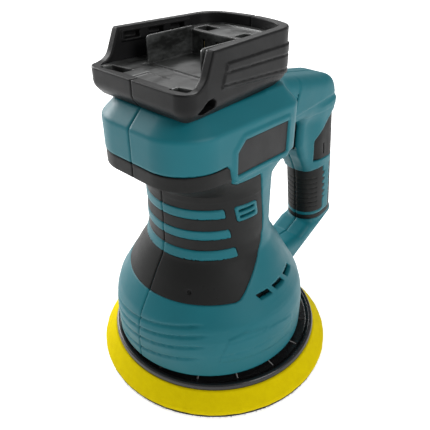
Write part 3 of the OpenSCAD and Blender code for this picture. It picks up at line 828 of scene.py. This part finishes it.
def bell_grooves(x, y, z):
    """Shallow grooves round the bell's front, rising to the right and fading out."""
    angle = angle_of(x, y)
    depth = turned(x, y, z)

    def groove(foot, reach):
        fade = ease((reach - angle) / 10) * ease((angle - GROOVE_LEFT) / 14)
        return np.abs(z - (foot + GROOVE_RISE * x)) * 0.8 - (depth + GROOVE_DEPTH * fade)
    grooves = union_of(groove(foot, reach) for foot, reach in BELL_GROOVES)
    return common(common(grooves, np.abs(depth) - 2), y - GROOVE_REAR)


SHOULDER_VENTS = [(77.5, 88.5), (92.5, 104), (108, 121)]  # start and end of each, in degrees
VENTS_Z, VENTS_TALL = 79.0, 2.3
VENTS_R, VENTS_DEEP = 60.0, 46.0


def shoulder_vents(x, y, z):
    """Three slanted vents on each side of the shoulder."""
    angle = np.abs(angle_of(x, y))
    r = np.hypot(x, y)
    v = z - VENTS_Z

    def vent(start, end):
        across = (angle - (start + end) / 2 + v * 0.7) * np.radians(r)
        half = (end - start) / 2 * math.radians(VENTS_R) - 0.4
        return rounded_rectangle(across, v, half, VENTS_TALL, 0.4)
    return common(union_of(vent(start, end) for start, end in SHOULDER_VENTS), VENTS_DEEP - r)


BELL_PANEL = [(62, 41), (64.5, 48), (69, 58), (80, 61), (107, 57), (124, 53), (124, 41)]
BELL_PANEL_RISE = 0.45


def bell_panel(x, y, z):
    """Faint raised panel low on each flank of the bell."""
    around = np.abs(angle_of(x, y)) * math.radians(BELL_R)
    return common(outline(around, z, BELL_PANEL, 1.0), turned(x, y, z) - BELL_PANEL_RISE, 0.4)


SLIT_Z, SLIT_TALL = 180.0, 8.5
SLIT_WIDE, SLIT_DEEP = 12.0, 2.2


def slit(x, y, z, solid):
    """Dark slit in front of the arm's cap."""
    line = np.abs(y - slit_line(z)) * 0.95 - 0.55
    line = common(line, np.abs(z - SLIT_Z) - SLIT_TALL)
    return common(common(line, SLIT_WIDE - np.abs(x)), -(solid + SLIT_DEEP))


BADGE_CUT = 5.5  # its cut corner
BADGE_ROUND = 1.2
BADGE = [(badge_low[1], badge_low[2]), (badge_high[1], badge_low[2]), (badge_high[1], badge_high[2]),
         (badge_low[1] + BADGE_CUT, badge_high[2]), (badge_low[1], badge_high[2] - BADGE_CUT)]
BADGE_PLAY = 0.15
BADGE_SEAT = 1.3  # depth of its seat in the head's flank
FRAME_WIDE, FRAME_RISE = 3.6, 0.7  # raised frame round it
FLANK = 30.0  # the frame is only further out than this


def badge_outline(y, z, grow):
    """The name plate seen from its side, with round corners."""
    middle = np.array([(badge_low[1] + badge_high[1]) / 2, (badge_low[2] + badge_high[2]) / 2])
    points = [tuple(np.array(p) - np.sign(np.array(p) - middle) * BADGE_ROUND) for p in BADGE]
    return outline(y, z, points, BADGE_ROUND + grow)


GRIP_AREA_Y, GRIP_AREA_Z = 78.0, 51.0  # the grip's rubber is only further back and higher than this
LEAD_HOLE_Y, LEAD_HOLE_R = 20.0, 9.0  # hole for the battery's leads, from the head into the dock
LEAD_HOLE_LOW = 195.0
TRIGGER_SLOT_Y, TRIGGER_SLOT_HALF = 82.0, 26.0
TRIGGER_GAP = 0.5
VENT_WALL = 38.0  # the side vent's slots are cut from here outwards


def lead_hole(x, y):
    return np.hypot(x, y - LEAD_HOLE_Y) - LEAD_HOLE_R


def cover_seats(x, y, z, solid):
    """Room for the neck's cover and for the grip's rubber."""
    neck = common(neck_zone(x, y, z), -(solid + SKIN))
    rubber = union(wrap_zone(x, y, z), palm_zone(x, y, z))
    skin = common(rubber, -(grip(x, y, z) + SKIN))
    skin = common(skin, common(GRIP_AREA_Y - y, GRIP_AREA_Z - z))
    return neck, common(skin, -arm_and_strut(x, y, z))


def housing(x, y, z):
    """Both halves of the teal housing as one solid."""
    solid = outer(x, y, z)
    badge_frame = common(badge_outline(y, z, FRAME_WIDE), np.abs(x) - HEAD_HALF - FRAME_RISE, 0.8)
    badge_frame = common(badge_frame, FLANK - np.abs(x))
    shell = union(union(solid, badge_frame, 0.5), bell_panel(x, y, z), 0.4)
    badge_seat = common(badge_outline(y, z, BADGE_PLAY), HEAD_HALF - BADGE_SEAT - np.abs(x))
    shell = cut(shell, badge_seat, 0.3)
    for seat in cover_seats(x, y, z, solid):
        shell = cut(shell, seat, 0.25)
    shell = cut(shell, bell_grooves(x, y, z), 0.5)
    shell = cut(shell, slit(x, y, z, solid), 0.3)
    shell = cut(shell, hollow(x, y, z), 0.6)
    slots = common(vent_slots(x, y, z), common(VENT_WALL - np.abs(x), solid - 3))
    shell = cut(shell, slots, 0.2)
    shell = cut(shell, shoulder_vents(x, y, z), 0.3)
    middle, half = (trigger_low[2] + trigger_high[2]) / 2, (trigger_high[2] - trigger_low[2]) / 2
    mouth = block(x, y, z, (0, TRIGGER_SLOT_Y, middle),
                  (trigger_high[0] + TRIGGER_GAP, TRIGGER_SLOT_HALF, half + TRIGGER_GAP), 2)
    shell = cut(shell, mouth, 0.8)
    return cut(shell, common(lead_hole(x, y), LEAD_HOLE_LOW - z))


def halved(field, side):
    """One half of the clamshell, its edge eased along the split."""
    return lambda x, y, z: common(field(x, y, z), SPLIT - side * x, SPLIT_EDGE)


DOT_ANGLE, DOT_Z, DOT_R = 30.0, 87.0, 1.5  # moulded dot on the right cover
DOT_REACH = 54.0  # the cover's radius there


def neck_cover(x, y, z):
    """The soft cover on the neck and shoulder, with the band that it carries round the head."""
    solid = outer(x, y, z)
    skin = common(solid + PROUD, -(solid + SKIN - SKIN_PLAY), 0.5)
    skin = common(common(skin, neck_zone(x, y, z) + PLAY, 0.5), z - BAND_TOP + BAND_GAP, 0.5)
    dot = np.hypot((angle_of(x, y) - DOT_ANGLE) * math.radians(DOT_REACH), (z - DOT_Z) * 1.2) - DOT_R
    return cut(skin, common(dot, -(solid + PROUD + 0.5)), 0.2)


def grip_rubber(zone, x, y, z):
    """Skin of rubber over one zone of the grip, and the grip's own surface."""
    solid = grip(x, y, z)
    skin = common(solid + 0.1, -(solid + SKIN - SKIN_PLAY), 0.6)
    skin = common(skin, zone(x, y, z) + PLAY, 0.5)
    return common(skin, -arm_and_strut(x, y, z) + PLAY, 0.3), solid


def palm_rubber(x, y, z):
    """Palm pad with one short mark."""
    skin, solid = grip_rubber(palm_zone, x, y, z)
    across, _ = grip_frame(y, z)
    mark = common(np.abs(across + 2.5) - 0.6, np.abs(z - 131) - 5)
    return cut(skin, common(mark, -(solid + 0.9)), 0.3)


RIB_PITCH = 5.0
RIB_LOW, RIB_HIGH = 16.0, 50.0


def wrap_rubber(x, y, z):
    """Grip wrap, its front pad with shallow finger ribs."""
    skin, solid = grip_rubber(wrap_zone, x, y, z)
    across, along = grip_frame(y, z)
    ribs = (np.abs((along + 1.5) % RIB_PITCH - RIB_PITCH / 2) - 0.55) * 0.9
    ribs = common(common(ribs, across + 9.5), between(along, RIB_LOW, RIB_HIGH))
    return cut(skin, common(ribs, -(solid + 0.55)), 0.4)


def name_plate(x, y, z):
    """Blank name plate in its seat."""
    plate = common(badge_outline(y, z, -0.1), np.abs(x) - HEAD_HALF + SKIN_PLAY, 0.6)
    return common(plate, HEAD_HALF - BADGE_SEAT + SKIN_PLAY - np.abs(x))


TRIGGER_PLAY = 0.05
DISH_R = 59.8  # dish for the finger, and how deep it goes
DISH_DEEP = 1.8


def trigger_shape(x, y, z):
    """Trigger with a dished front and eased edges."""
    low, high = trigger_low, trigger_high
    middle = (low[2] + high[2]) / 2
    half = [high[0] - TRIGGER_PLAY, *((high[a] - low[a]) / 2 - TRIGGER_PLAY for a in (1, 2))]
    solid = block(x, y, z, (0, (low[1] + high[1]) / 2, middle), half, 2.2)
    dish = np.hypot(y - low[1] + (DISH_R - DISH_DEEP), z - middle) - DISH_R
    return cut(solid, dish, 1.5)


# -------- shape of the battery dock

DOCK_WALL = 5.6
DOCK_INSET = 0.7  # the raised side panels make up the full width
DOCK_CORNER = 9.0
DOCK_TAPER, TAPER_LEN = 0.0858, 80.0
DOCK_TAPER_Y = DOCK_FRONT + 16
DOCK_BREAK = HEAD_TOP + 5.9  # where the outside breaks into its bottom chamfer
BOW_R = 76.6  # bow of the closed end
FLOOR = HEAD_TOP + 16
LIP = FLOOR + 0.5
RAIL_LOW, RAIL_TOP = DOCK_TOP - 8, DOCK_TOP - 2
RAIL_Z = (RAIL_LOW + RAIL_TOP) / 2
TRAY_PLAY = 0.06


def dock_plan(x, y):
    """Plan of the dock: tapering sides, round front corners, bowed closed end."""
    half = DOCK_HALF - DOCK_INSET - DOCK_TAPER * np.clip(y - DOCK_TAPER_Y, 0, TAPER_LEN)
    d = round_edge(np.abs(x) - half, DOCK_FRONT - y, DOCK_CORNER)
    return common(d, np.hypot(x, y - DOCK_REAR + BOW_R) - BOW_R, 9.0)


MOUTH_Y, MOUTH_LEAN = -37.0, 0.42  # where the walls' slanted front ends reach the dock's top


def dock_mouth(y, z):
    """Space in front of the walls, above the lip."""
    face = (y - MOUTH_Y - (z - DOCK_TOP) * MOUTH_LEAN) * 0.92
    return common(LIP - z, face, 7.0)


PANEL_RISE = 0.85
PANEL_FRONT, PANEL_LEAN = -26.5, 0.38
PANEL_GROOVES = [(0.66, 0.75), (0.17, 0.6)]  # place up the panel, from 0 to 1, and half width


def side_panel(y, z, plan):
    """Low raised panel with two grooves on the dock's outside; its lines fan out to the rear."""
    back = (y + 28) / 50
    low, high = 221.6 - 5 * back, 234.4 - 1.2 * back
    tall = high - low
    h = (z - low) / tall
    front = (PANEL_FRONT - (RAIL_LOW - z) * PANEL_LEAN - y) * 0.93
    panel = common(common(plan - PANEL_RISE, (np.abs(h - 0.5) - 0.5) * tall, 0.9), front, 0.9)
    for middle, half in PANEL_GROOVES:
        groove = np.abs(h - middle) * tall - half - (plan - PANEL_RISE)
        panel = cut(panel, groove * 0.7, 0.5)
    return panel


def dock_outside(x, y, z):
    """The dock's outside: its plan, bottom chamfer, side panels and open front."""
    plan = dock_plan(x, y)
    solid = common(plan, (plan + (DOCK_BREAK - z) * 0.9) * 0.74, 2.0)
    solid = common(common(solid, HEAD_TOP + 0.05 - z, 0.8), z - DOCK_TOP, 1.3)
    solid = union(solid, side_panel(y, z, plan), 0.3)
    return cut(solid, dock_mouth(y, z), 1.0)


RECESS = [(-41.8, 217.6), (-38.4, 217.9), (-36.6, 216.4), (-36.8, 214.4), (-43.2, 212.6), (-47.2, 213.4)]
RECESS_DEEP = 32.0


def corner_recess(x, y, z):
    """Dark slanted recess low at each front corner."""
    return common(outline(y, z, RECESS, 1.2), RECESS_DEEP - np.abs(x))


WINDOWS_Y = (-28.5, -11.0, 5.0)
WINDOW_HALF, WINDOW_TALL, WINDOW_DEEP = 5.4, 1.9, 2.2


def wall_windows(y, z, plan):
    """Openings in the inner face of the side walls, under their tops."""
    windows = union_of(rounded_rectangle(y - middle, z - RAIL_Z, WINDOW_HALF, WINDOW_TALL, 0.5)
                       for middle in WINDOWS_Y)
    return common(windows, plan + WINDOW_DEEP)


# Notches behind the lip's corners: middle, skew and half sizes of the wide left and the small right one.
NOTCHES = [(-23.0, -49.8, 0.12, 8.5, 4.3), (31.5, -50.3, 0.25, 5.2, 3.2)]
NOTCH_FLOOR = FLOOR - 4.5


def lip_notches(x, y, z):
    """Deep notches behind the lip's corners."""
    notches = union_of(rounded_rectangle(x - at_x, y - at_y - skew * (x - at_x), half_x, half_y, 0.6)
                       for at_x, at_y, skew, half_x, half_y in NOTCHES)
    return common(notches, NOTCH_FLOOR - z)


def dock_shell(x, y, z):
    """Both outer shells of the dock as one solid, with the rails for the battery."""
    plan = dock_plan(x, y)
    solid = dock_outside(x, y, z)
    cavity = common(plan + DOCK_WALL, FLOOR - 5.9 - z)
    solid = cut(solid, cavity, 0.5)
    rail = common(plan + DOCK_WALL - 1.0, np.abs(z - RAIL_Z) - 3.2, 0.5)
    rail = common(common(rail, np.abs(y + 10) - 25.5, 0.5), -(plan + DOCK_WALL + 1.2))
    solid = union(solid, rail)
    for opening in (wall_windows(y, z, plan), lip_notches(x, y, z), corner_recess(x, y, z)):
        solid = cut(solid, opening, 0.3)
    solid = cut(solid, common(plan + 9, np.abs(z - HEAD_TOP - 5) - 2.5))
    return cut(solid, common(lead_hole(x, y), z - FLOOR))


TRAY_LOW = FLOOR - 6
DECK = FLOOR + 12.6  # raised deck behind the pocket
POCKET_HALF = 21.4
POCKET_FRONT, POCKET_REAR = -27.4, 7.9
POCKET_WALL = 0.8  # half its thickness
CONTACT_SLOTS = (-11, 0, 11)

# Sunken rectangles in the tray: left and right side, front and rear, and the level of their floor.
SUNKEN = [(-POCKET_HALF, POCKET_HALF, POCKET_FRONT, POCKET_REAR, FLOOR - 1.6),
          (-19.5, 25.5, -33.4, -28.6, FLOOR - 0.8),
          (-5.5, 13.5, -52.5, -41.5, FLOOR - 0.6),
          (-24.0, 24.0, 24.5, 32.5, DECK - 0.5)]


def dock_tray(x, y, z):
    """The tray: floor, walled pocket, and a raised deck that holds the contacts."""
    plan = dock_plan(x, y) + DOCK_WALL + TRAY_PLAY
    slab = common(plan, between(z, TRAY_LOW, FLOOR))
    deck = common(common(plan, between(z, TRAY_LOW, DECK), 0.8), POCKET_REAR - y, 0.6)
    solid = union(slab, deck)
    # thin walls of the pocket, their front top corners rounded
    wall = np.abs(np.abs(x) - POCKET_HALF - POCKET_WALL) - POCKET_WALL
    side = rounded_rectangle(y - (POCKET_FRONT + POCKET_REAR + 3) / 2, z - FLOOR - 4.3,
                             (POCKET_REAR - POCKET_FRONT + 3) / 2, 10.2, 2.6)
    solid = union(solid, common(wall, side, 0.5), 0.5)
    for left, right, front, rear, level in SUNKEN:
        solid = cut(solid, common(common(between(x, left, right), between(y, front, rear)), level - z), 0.3)
    solid = cut(solid, lip_notches(x, y, z), 0.3)
    # notches in the deck and contact slots in its front face
    notch = common(np.abs(np.abs(x) - 16.5) - 5.8, np.abs(y - 17) - 5.2)
    solid = cut(solid, common(notch, DECK - 4.5 - z), 0.4)
    for blade in CONTACT_SLOTS:
        slot = common(np.abs(x - blade) - 1.0, np.abs(z - FLOOR - 4.5) - 3.5)
        solid = cut(solid, common(slot, y - 14), 0.2)
    return solid


# -------- pieces


def build_housing():
    step = 1.18
    low, high = right_low.copy(), right_high.copy()
    high[1] += 4
    for side, name in ((1, "housing_right"), (-1, "housing_left")):
        low[0], high[0] = (0, BELL_R) if side > 0 else (-BELL_R, 0)
        shape = surface(halved(housing, side), low, high, step)
        piece(name + "_shell", shape, "housing_plastic", name)


def both_halves(field, box, step, differ):
    """Right and left half of a solid, the left one its mirror image unless they differ."""
    low, high = box
    right = surface(halved(field, 1), low, high, step)
    if not differ:
        return right, mirrored(*right)
    return right, surface(halved(field, -1), (-high[0], *low[1:]), (0, *high[1:]), step)


# Each cover's field, the box that its right half lies in, the start of its nodes' names and its slot.
COVERS = [
    (neck_cover, (0, HEAD_FRONT, SHOULDER_Z), (BELL_R - 8, 14, BAND_TOP), "neck_cover", "soft_cover"),
    (name_plate, (40, -22, 167), (44, 28, 191), "badge", "name_plate"),
    (wrap_rubber, (0, 96, 56), (17, 160, 120), "grip_wrap", "soft_cover"),
    (palm_rubber, (0, 100, 118), (17, 150, 168), "palm_pad", "soft_cover"),
]


def build_covers():
    step = 0.7
    for field, low, high, start, slot in COVERS:
        halves = both_halves(field, (low, high), step, field is neck_cover)
        for name, half in zip((start + "_right", start + "_left"), halves):
            piece(name + "_skin", half, slot, name)


def build_dock():
    step = 0.7
    box = (0, DOCK_FRONT - 1, HEAD_TOP), (DOCK_HALF + 1.5, DOCK_REAR + 1, DOCK_TOP)
    for name, half in zip(("dock_right", "dock_left"), both_halves(dock_shell, box, step, True)):
        piece(name + "_shell", half, "dock_plastic", name)
    inner = DOCK_HALF - DOCK_WALL
    shape = surface(dock_tray, (-inner, DOCK_FRONT + DOCK_WALL, TRAY_LOW),
                    (inner, DOCK_REAR - DOCK_WALL, DOCK_TOP), step)
    piece("dock_tray_moulding", shape, "dock_plastic", "dock_tray", material="tray")


def build_trigger():
    shape = surface(trigger_shape, trigger_low, trigger_high, 0.7)
    piece("trigger_moulding", shape, "black_plastic", "trigger", "trigger")


def ripple(seed, counts):
    """A smooth random wave round a circle, between -1 and 1, with so many waves to a turn."""
    rng = np.random.default_rng(seed)
    waves = [(k, rng.uniform(0, 2 * math.pi), rng.uniform(0.3, 1.0)) for k in counts]
    total = sum(w[2] for w in waves)
    return lambda angle: sum(a * np.sin(k * angle + p) for k, p, a in waves) / total


SEGMENTS = 384  # round the pad
PAD_CENTRE = (0, ECC)
CENTRE_R = 0.4  # pinhole in the middle of a turned piece
FOOT_EDGE = 3.2  # height of the foam's rolled lower edge
UNEVEN = 0.35  # how far the foam's side wavers


def build_foam():
    """Foam pad: a slanting side with a rolled lower edge, cut a little unevenly."""
    foot, top = foam_low[2], foam_high[2]
    seat_r = PLATE_R + 1
    waves = ripple(4, (3, 7, 11, 19, 31, 53))

    def uneven(r, z, angle):
        outside = np.clip((r - 60) / 30, 0, 1)
        return r + outside * (UNEVEN * waves(angle + z * 0.02) - UNEVEN), z

    slant = [(PAD_R - (PAD_R - seat_r) * t, foot + FOOT_EDGE + (top - foot - FOOT_EDGE) * t)
             for t in np.linspace(0.06, 1, 14)]
    section = [(CENTRE_R, foot), (40, foot), (70, foot), (PAD_R - 3, foot), (PAD_R - 1.2, foot + 0.1),
               (PAD_R - 0.3, foot + 0.8), (PAD_R - 0.05, foot + 1.7), (PAD_R - 0.1, foot + 2.6)]
    section += slant + [(seat_r - 1.5, top), (60, top), (30, top), (CENTRE_R, top)]
    shape = lathe(section, SEGMENTS, PAD_CENTRE, uneven)
    piece("foam_pad_body", shape, "foam", "foam_pad", "pad")


def radial(angle):
    """Unit steps outwards and sideways at an angle round the pad."""
    out = np.array([math.cos(angle), math.sin(angle), 0])
    return out, np.array([-out[1], out[0], 0])


HOOK_R = PAD_R - 0.7
HOOK_LOW, HOOK_TOP = 0.6, 2.49
BRISTLES = 1500


def hook_tape():
    """The hook layer's disc, its rim ragged."""
    ragged = ripple(9, tuple(range(5, 150, 3)))

    def torn(r, z, angle):
        edge = np.clip((r - HOOK_R + 2) / 2, 0, 1)
        return r + edge * (0.5 * ragged(angle) - 0.3), z

    section = [(CENTRE_R, HOOK_LOW), (50, HOOK_LOW), (HOOK_R - 1.5, HOOK_LOW), (HOOK_R - 0.4, 0.7),
               (HOOK_R, 1.3), (HOOK_R - 0.4, 2.4), (HOOK_R - 1.5, HOOK_TOP), (50, HOOK_TOP),
               (CENTRE_R, HOOK_TOP)]
    return lathe(section, SEGMENTS * 2, PAD_CENTRE, torn)


def bristle(root, tip, side, width):
    """Points of one bristle: a square rod that narrows to its tip and stays above the floor."""
    up = np.array([0, 0, 1.0])
    points = []
    for at, w in ((root, width), (tip, width * 0.4)):
        for a, b in ((-1, -1), (1, -1), (1, 1), (-1, 1)):
            corner = at + side * a * w + up * b * w * 0.6
            corner[2] = max(corner[2], 0.0)
            points.append(corner)
    return points


def hook_fringe():
    """Fine bristles round the hook layer's rim."""
    rng = np.random.default_rng(12)
    angle = rng.uniform(0, 2 * math.pi, BRISTLES)
    start = HOOK_R - rng.uniform(0.3, 3.0, BRISTLES)
    height = rng.uniform(0.7, 1.8, BRISTLES)
    reach = rng.uniform(0.3, 1.1, BRISTLES)
    drop = rng.uniform(0.1, 0.7, BRISTLES)
    turn = rng.uniform(-0.9, 0.9, BRISTLES)
    width = rng.uniform(0.08, 0.15, BRISTLES)
    points, quads = [], []
    for i in range(BRISTLES):
        out, side = radial(angle[i])
        root = np.array([start[i] * out[0], ECC + start[i] * out[1], height[i]])
        tip = root + out * min(reach[i], PAD_R - 0.6 - start[i]) + side * turn[i] * 0.5
        tip[2] = max(0.02 + width[i] * 0.3, height[i] - drop[i] - 0.3)
        base = len(points)
        points += bristle(root, tip, side, width[i])
        quads += [[base + k, base + (k + 1) % 4, base + 4 + (k + 1) % 4, base + 4 + k] for k in range(4)]
        quads += [[base + 3, base + 2, base + 1, base], [base + 4, base + 5, base + 6, base + 7]]
    return np.array(points), np.array(quads)


def build_hooks():
    piece("hook_layer_tape", joined(hook_tape(), hook_fringe()), "hook", "hook_layer", "pad")


PLATE_BORE, PLATE_HUB = 4.1, 12.2
PLATE_RIBS = 16


def plate_rib(angle, low):
    """One radial rib on the plate, in three cross sections that get lower to the outside."""
    out, side = radial(angle)
    hub = np.array([0, ECC, 0])
    points = []
    for radius, top in ((18.5, low + 5.2), (40, low + 4.4), (PLATE_R - 6.5, low + 3.7)):
        for w, z in ((-0.9, low + 2.4), (-0.6, top), (0.6, top), (0.9, low + 2.4)):
            points.append(hub + out * radius + side * w + np.array([0, 0, z]))
    quads = [[k + 4 + j, k + 4 + (j + 1) % 4, k + (j + 1) % 4, k + j] for k in (0, 4) for j in range(4)]
    quads += [[0, 1, 2, 3], [11, 10, 9, 8]]
    return np.array(points), np.array(quads)


def build_plate():
    """Backing plate: a rounded lip, a dished top, a hub and radial ribs."""
    r, low = PLATE_R, plate_low[2]
    foot, dish, lip, hub = low + 2, low + 2.9, low + 4.45, low + 6.45
    section = rounded([(PLATE_BORE, foot), (PLATE_HUB, foot), (PLATE_HUB, low), (r, low), (r, low + 2.4),
                       (r - 0.9, lip), (r - 3.6, lip), (r - 5.6, dish), (24, dish), (19, low + 3.4),
                       (17, hub), (PLATE_BORE, hub)], 0.9)
    ribs = [plate_rib(2 * math.pi * (i + 0.5) / PLATE_RIBS, low) for i in range(PLATE_RIBS)]
    shape = joined(lathe(section, SEGMENTS, PAD_CENTRE), *ribs)
    piece("backing_plate_disc", shape, "plate", "backing_plate", "pad")


def build_skirt():
    """Dust skirt: a soft collar with a rolled lip and a shallow bead."""
    r = skirt_high[0]
    low, high = skirt_low[2], skirt_high[2]
    section = rounded([(r - 3.6, low + 0.6), (r - 1.6, low), (r - 0.1, low + 2.6), (r - 0.4, low + 4.6),
                       (r, low + 5.6), (r, high), (r - 2.5, high), (r - 2.5, low + 5.6)], 0.8)
    piece("dust_skirt_collar", lathe(section, 256), "skirt", "dust_skirt")


# -------- camera, floor and light


def plain_material(name, colour, roughness, glow):
    """Even paper-like material that glows a little, so that the floor stays white in the shade."""
    n = Nodes(name)
    fine = n.noise(6.0, 2.0)
    shade = tuple(c * 0.995 for c in colour)
    return n.finish(n.ramp(fine, shade, colour), n.ramp(fine, roughness, roughness + 0.05),
                    Emission_Color=colour + (1,), Emission_Strength=glow)


def set_camera():
    """The camera stands to the front right, looking down at the whole tool."""
    right = Vector((0.7253, 0.6884, -0.0008))
    up = Vector((-0.3693, 0.3901, 0.8435))
    back = right.cross(up)
    view = Matrix((right, up, back)).transposed().to_4x4()
    view.translation = Vector((211.1, -215.8, 305.6)) * MM
    data = bpy.data.cameras.new("camera")
    data.sensor_width = 36
    data.lens = 41.86
    data.clip_start = 0.01
    camera = place("camera", data)
    camera.matrix_world = view
    bpy.context.scene.camera = camera


def set_floor():
    """Pale floor that fills the view."""
    mesh = bpy.data.meshes.new("floor")
    half = 6.0
    mesh.from_pydata([(-half, -half, 0), (half, -half, 0), (half, half, 0), (-half, half, 0)], [],
                     [(0, 1, 2, 3)])
    mesh.materials.append(plain_material("floor_white", (0.93, 0.93, 0.93), 0.9, 0.55))
    place("floor", mesh)


def soft_light(name, at, size, power, target=(0, 0.03, 0.12)):
    """Square area light aimed at the middle of the tool; metres and watts."""
    data = bpy.data.lights.new(name, "AREA")
    data.size = size
    data.energy = power
    light = place(name, data)
    light.location = at
    light.rotation_euler = (Vector(target) - Vector(at)).to_track_quat("-Z", "Y").to_euler()


def set_light():
    """Grey studio surround and three soft lights."""
    world = bpy.data.worlds.new("studio")
    world.use_nodes = True
    background = world.node_tree.nodes["Background"]
    background.inputs["Color"].default_value = (1, 1, 1, 1)
    background.inputs["Strength"].default_value = 0.42
    bpy.context.scene.world = world
    soft_light("key", (-1.4, -0.1, 0.75), 0.8, 25)
    soft_light("fill", (1.3, 0.1, 0.9), 0.7, 11)
    soft_light("top", (-0.75, 0.85, 1.3), 0.6, 11)


# -------- build

bpy.context.scene.view_settings.view_transform = "Standard"
set_camera()
set_floor()
set_light()
dress_cad_nodes()
build_housing()
build_covers()
build_dock()
build_trigger()
build_foam()
build_hooks()
build_plate()
build_skirt()
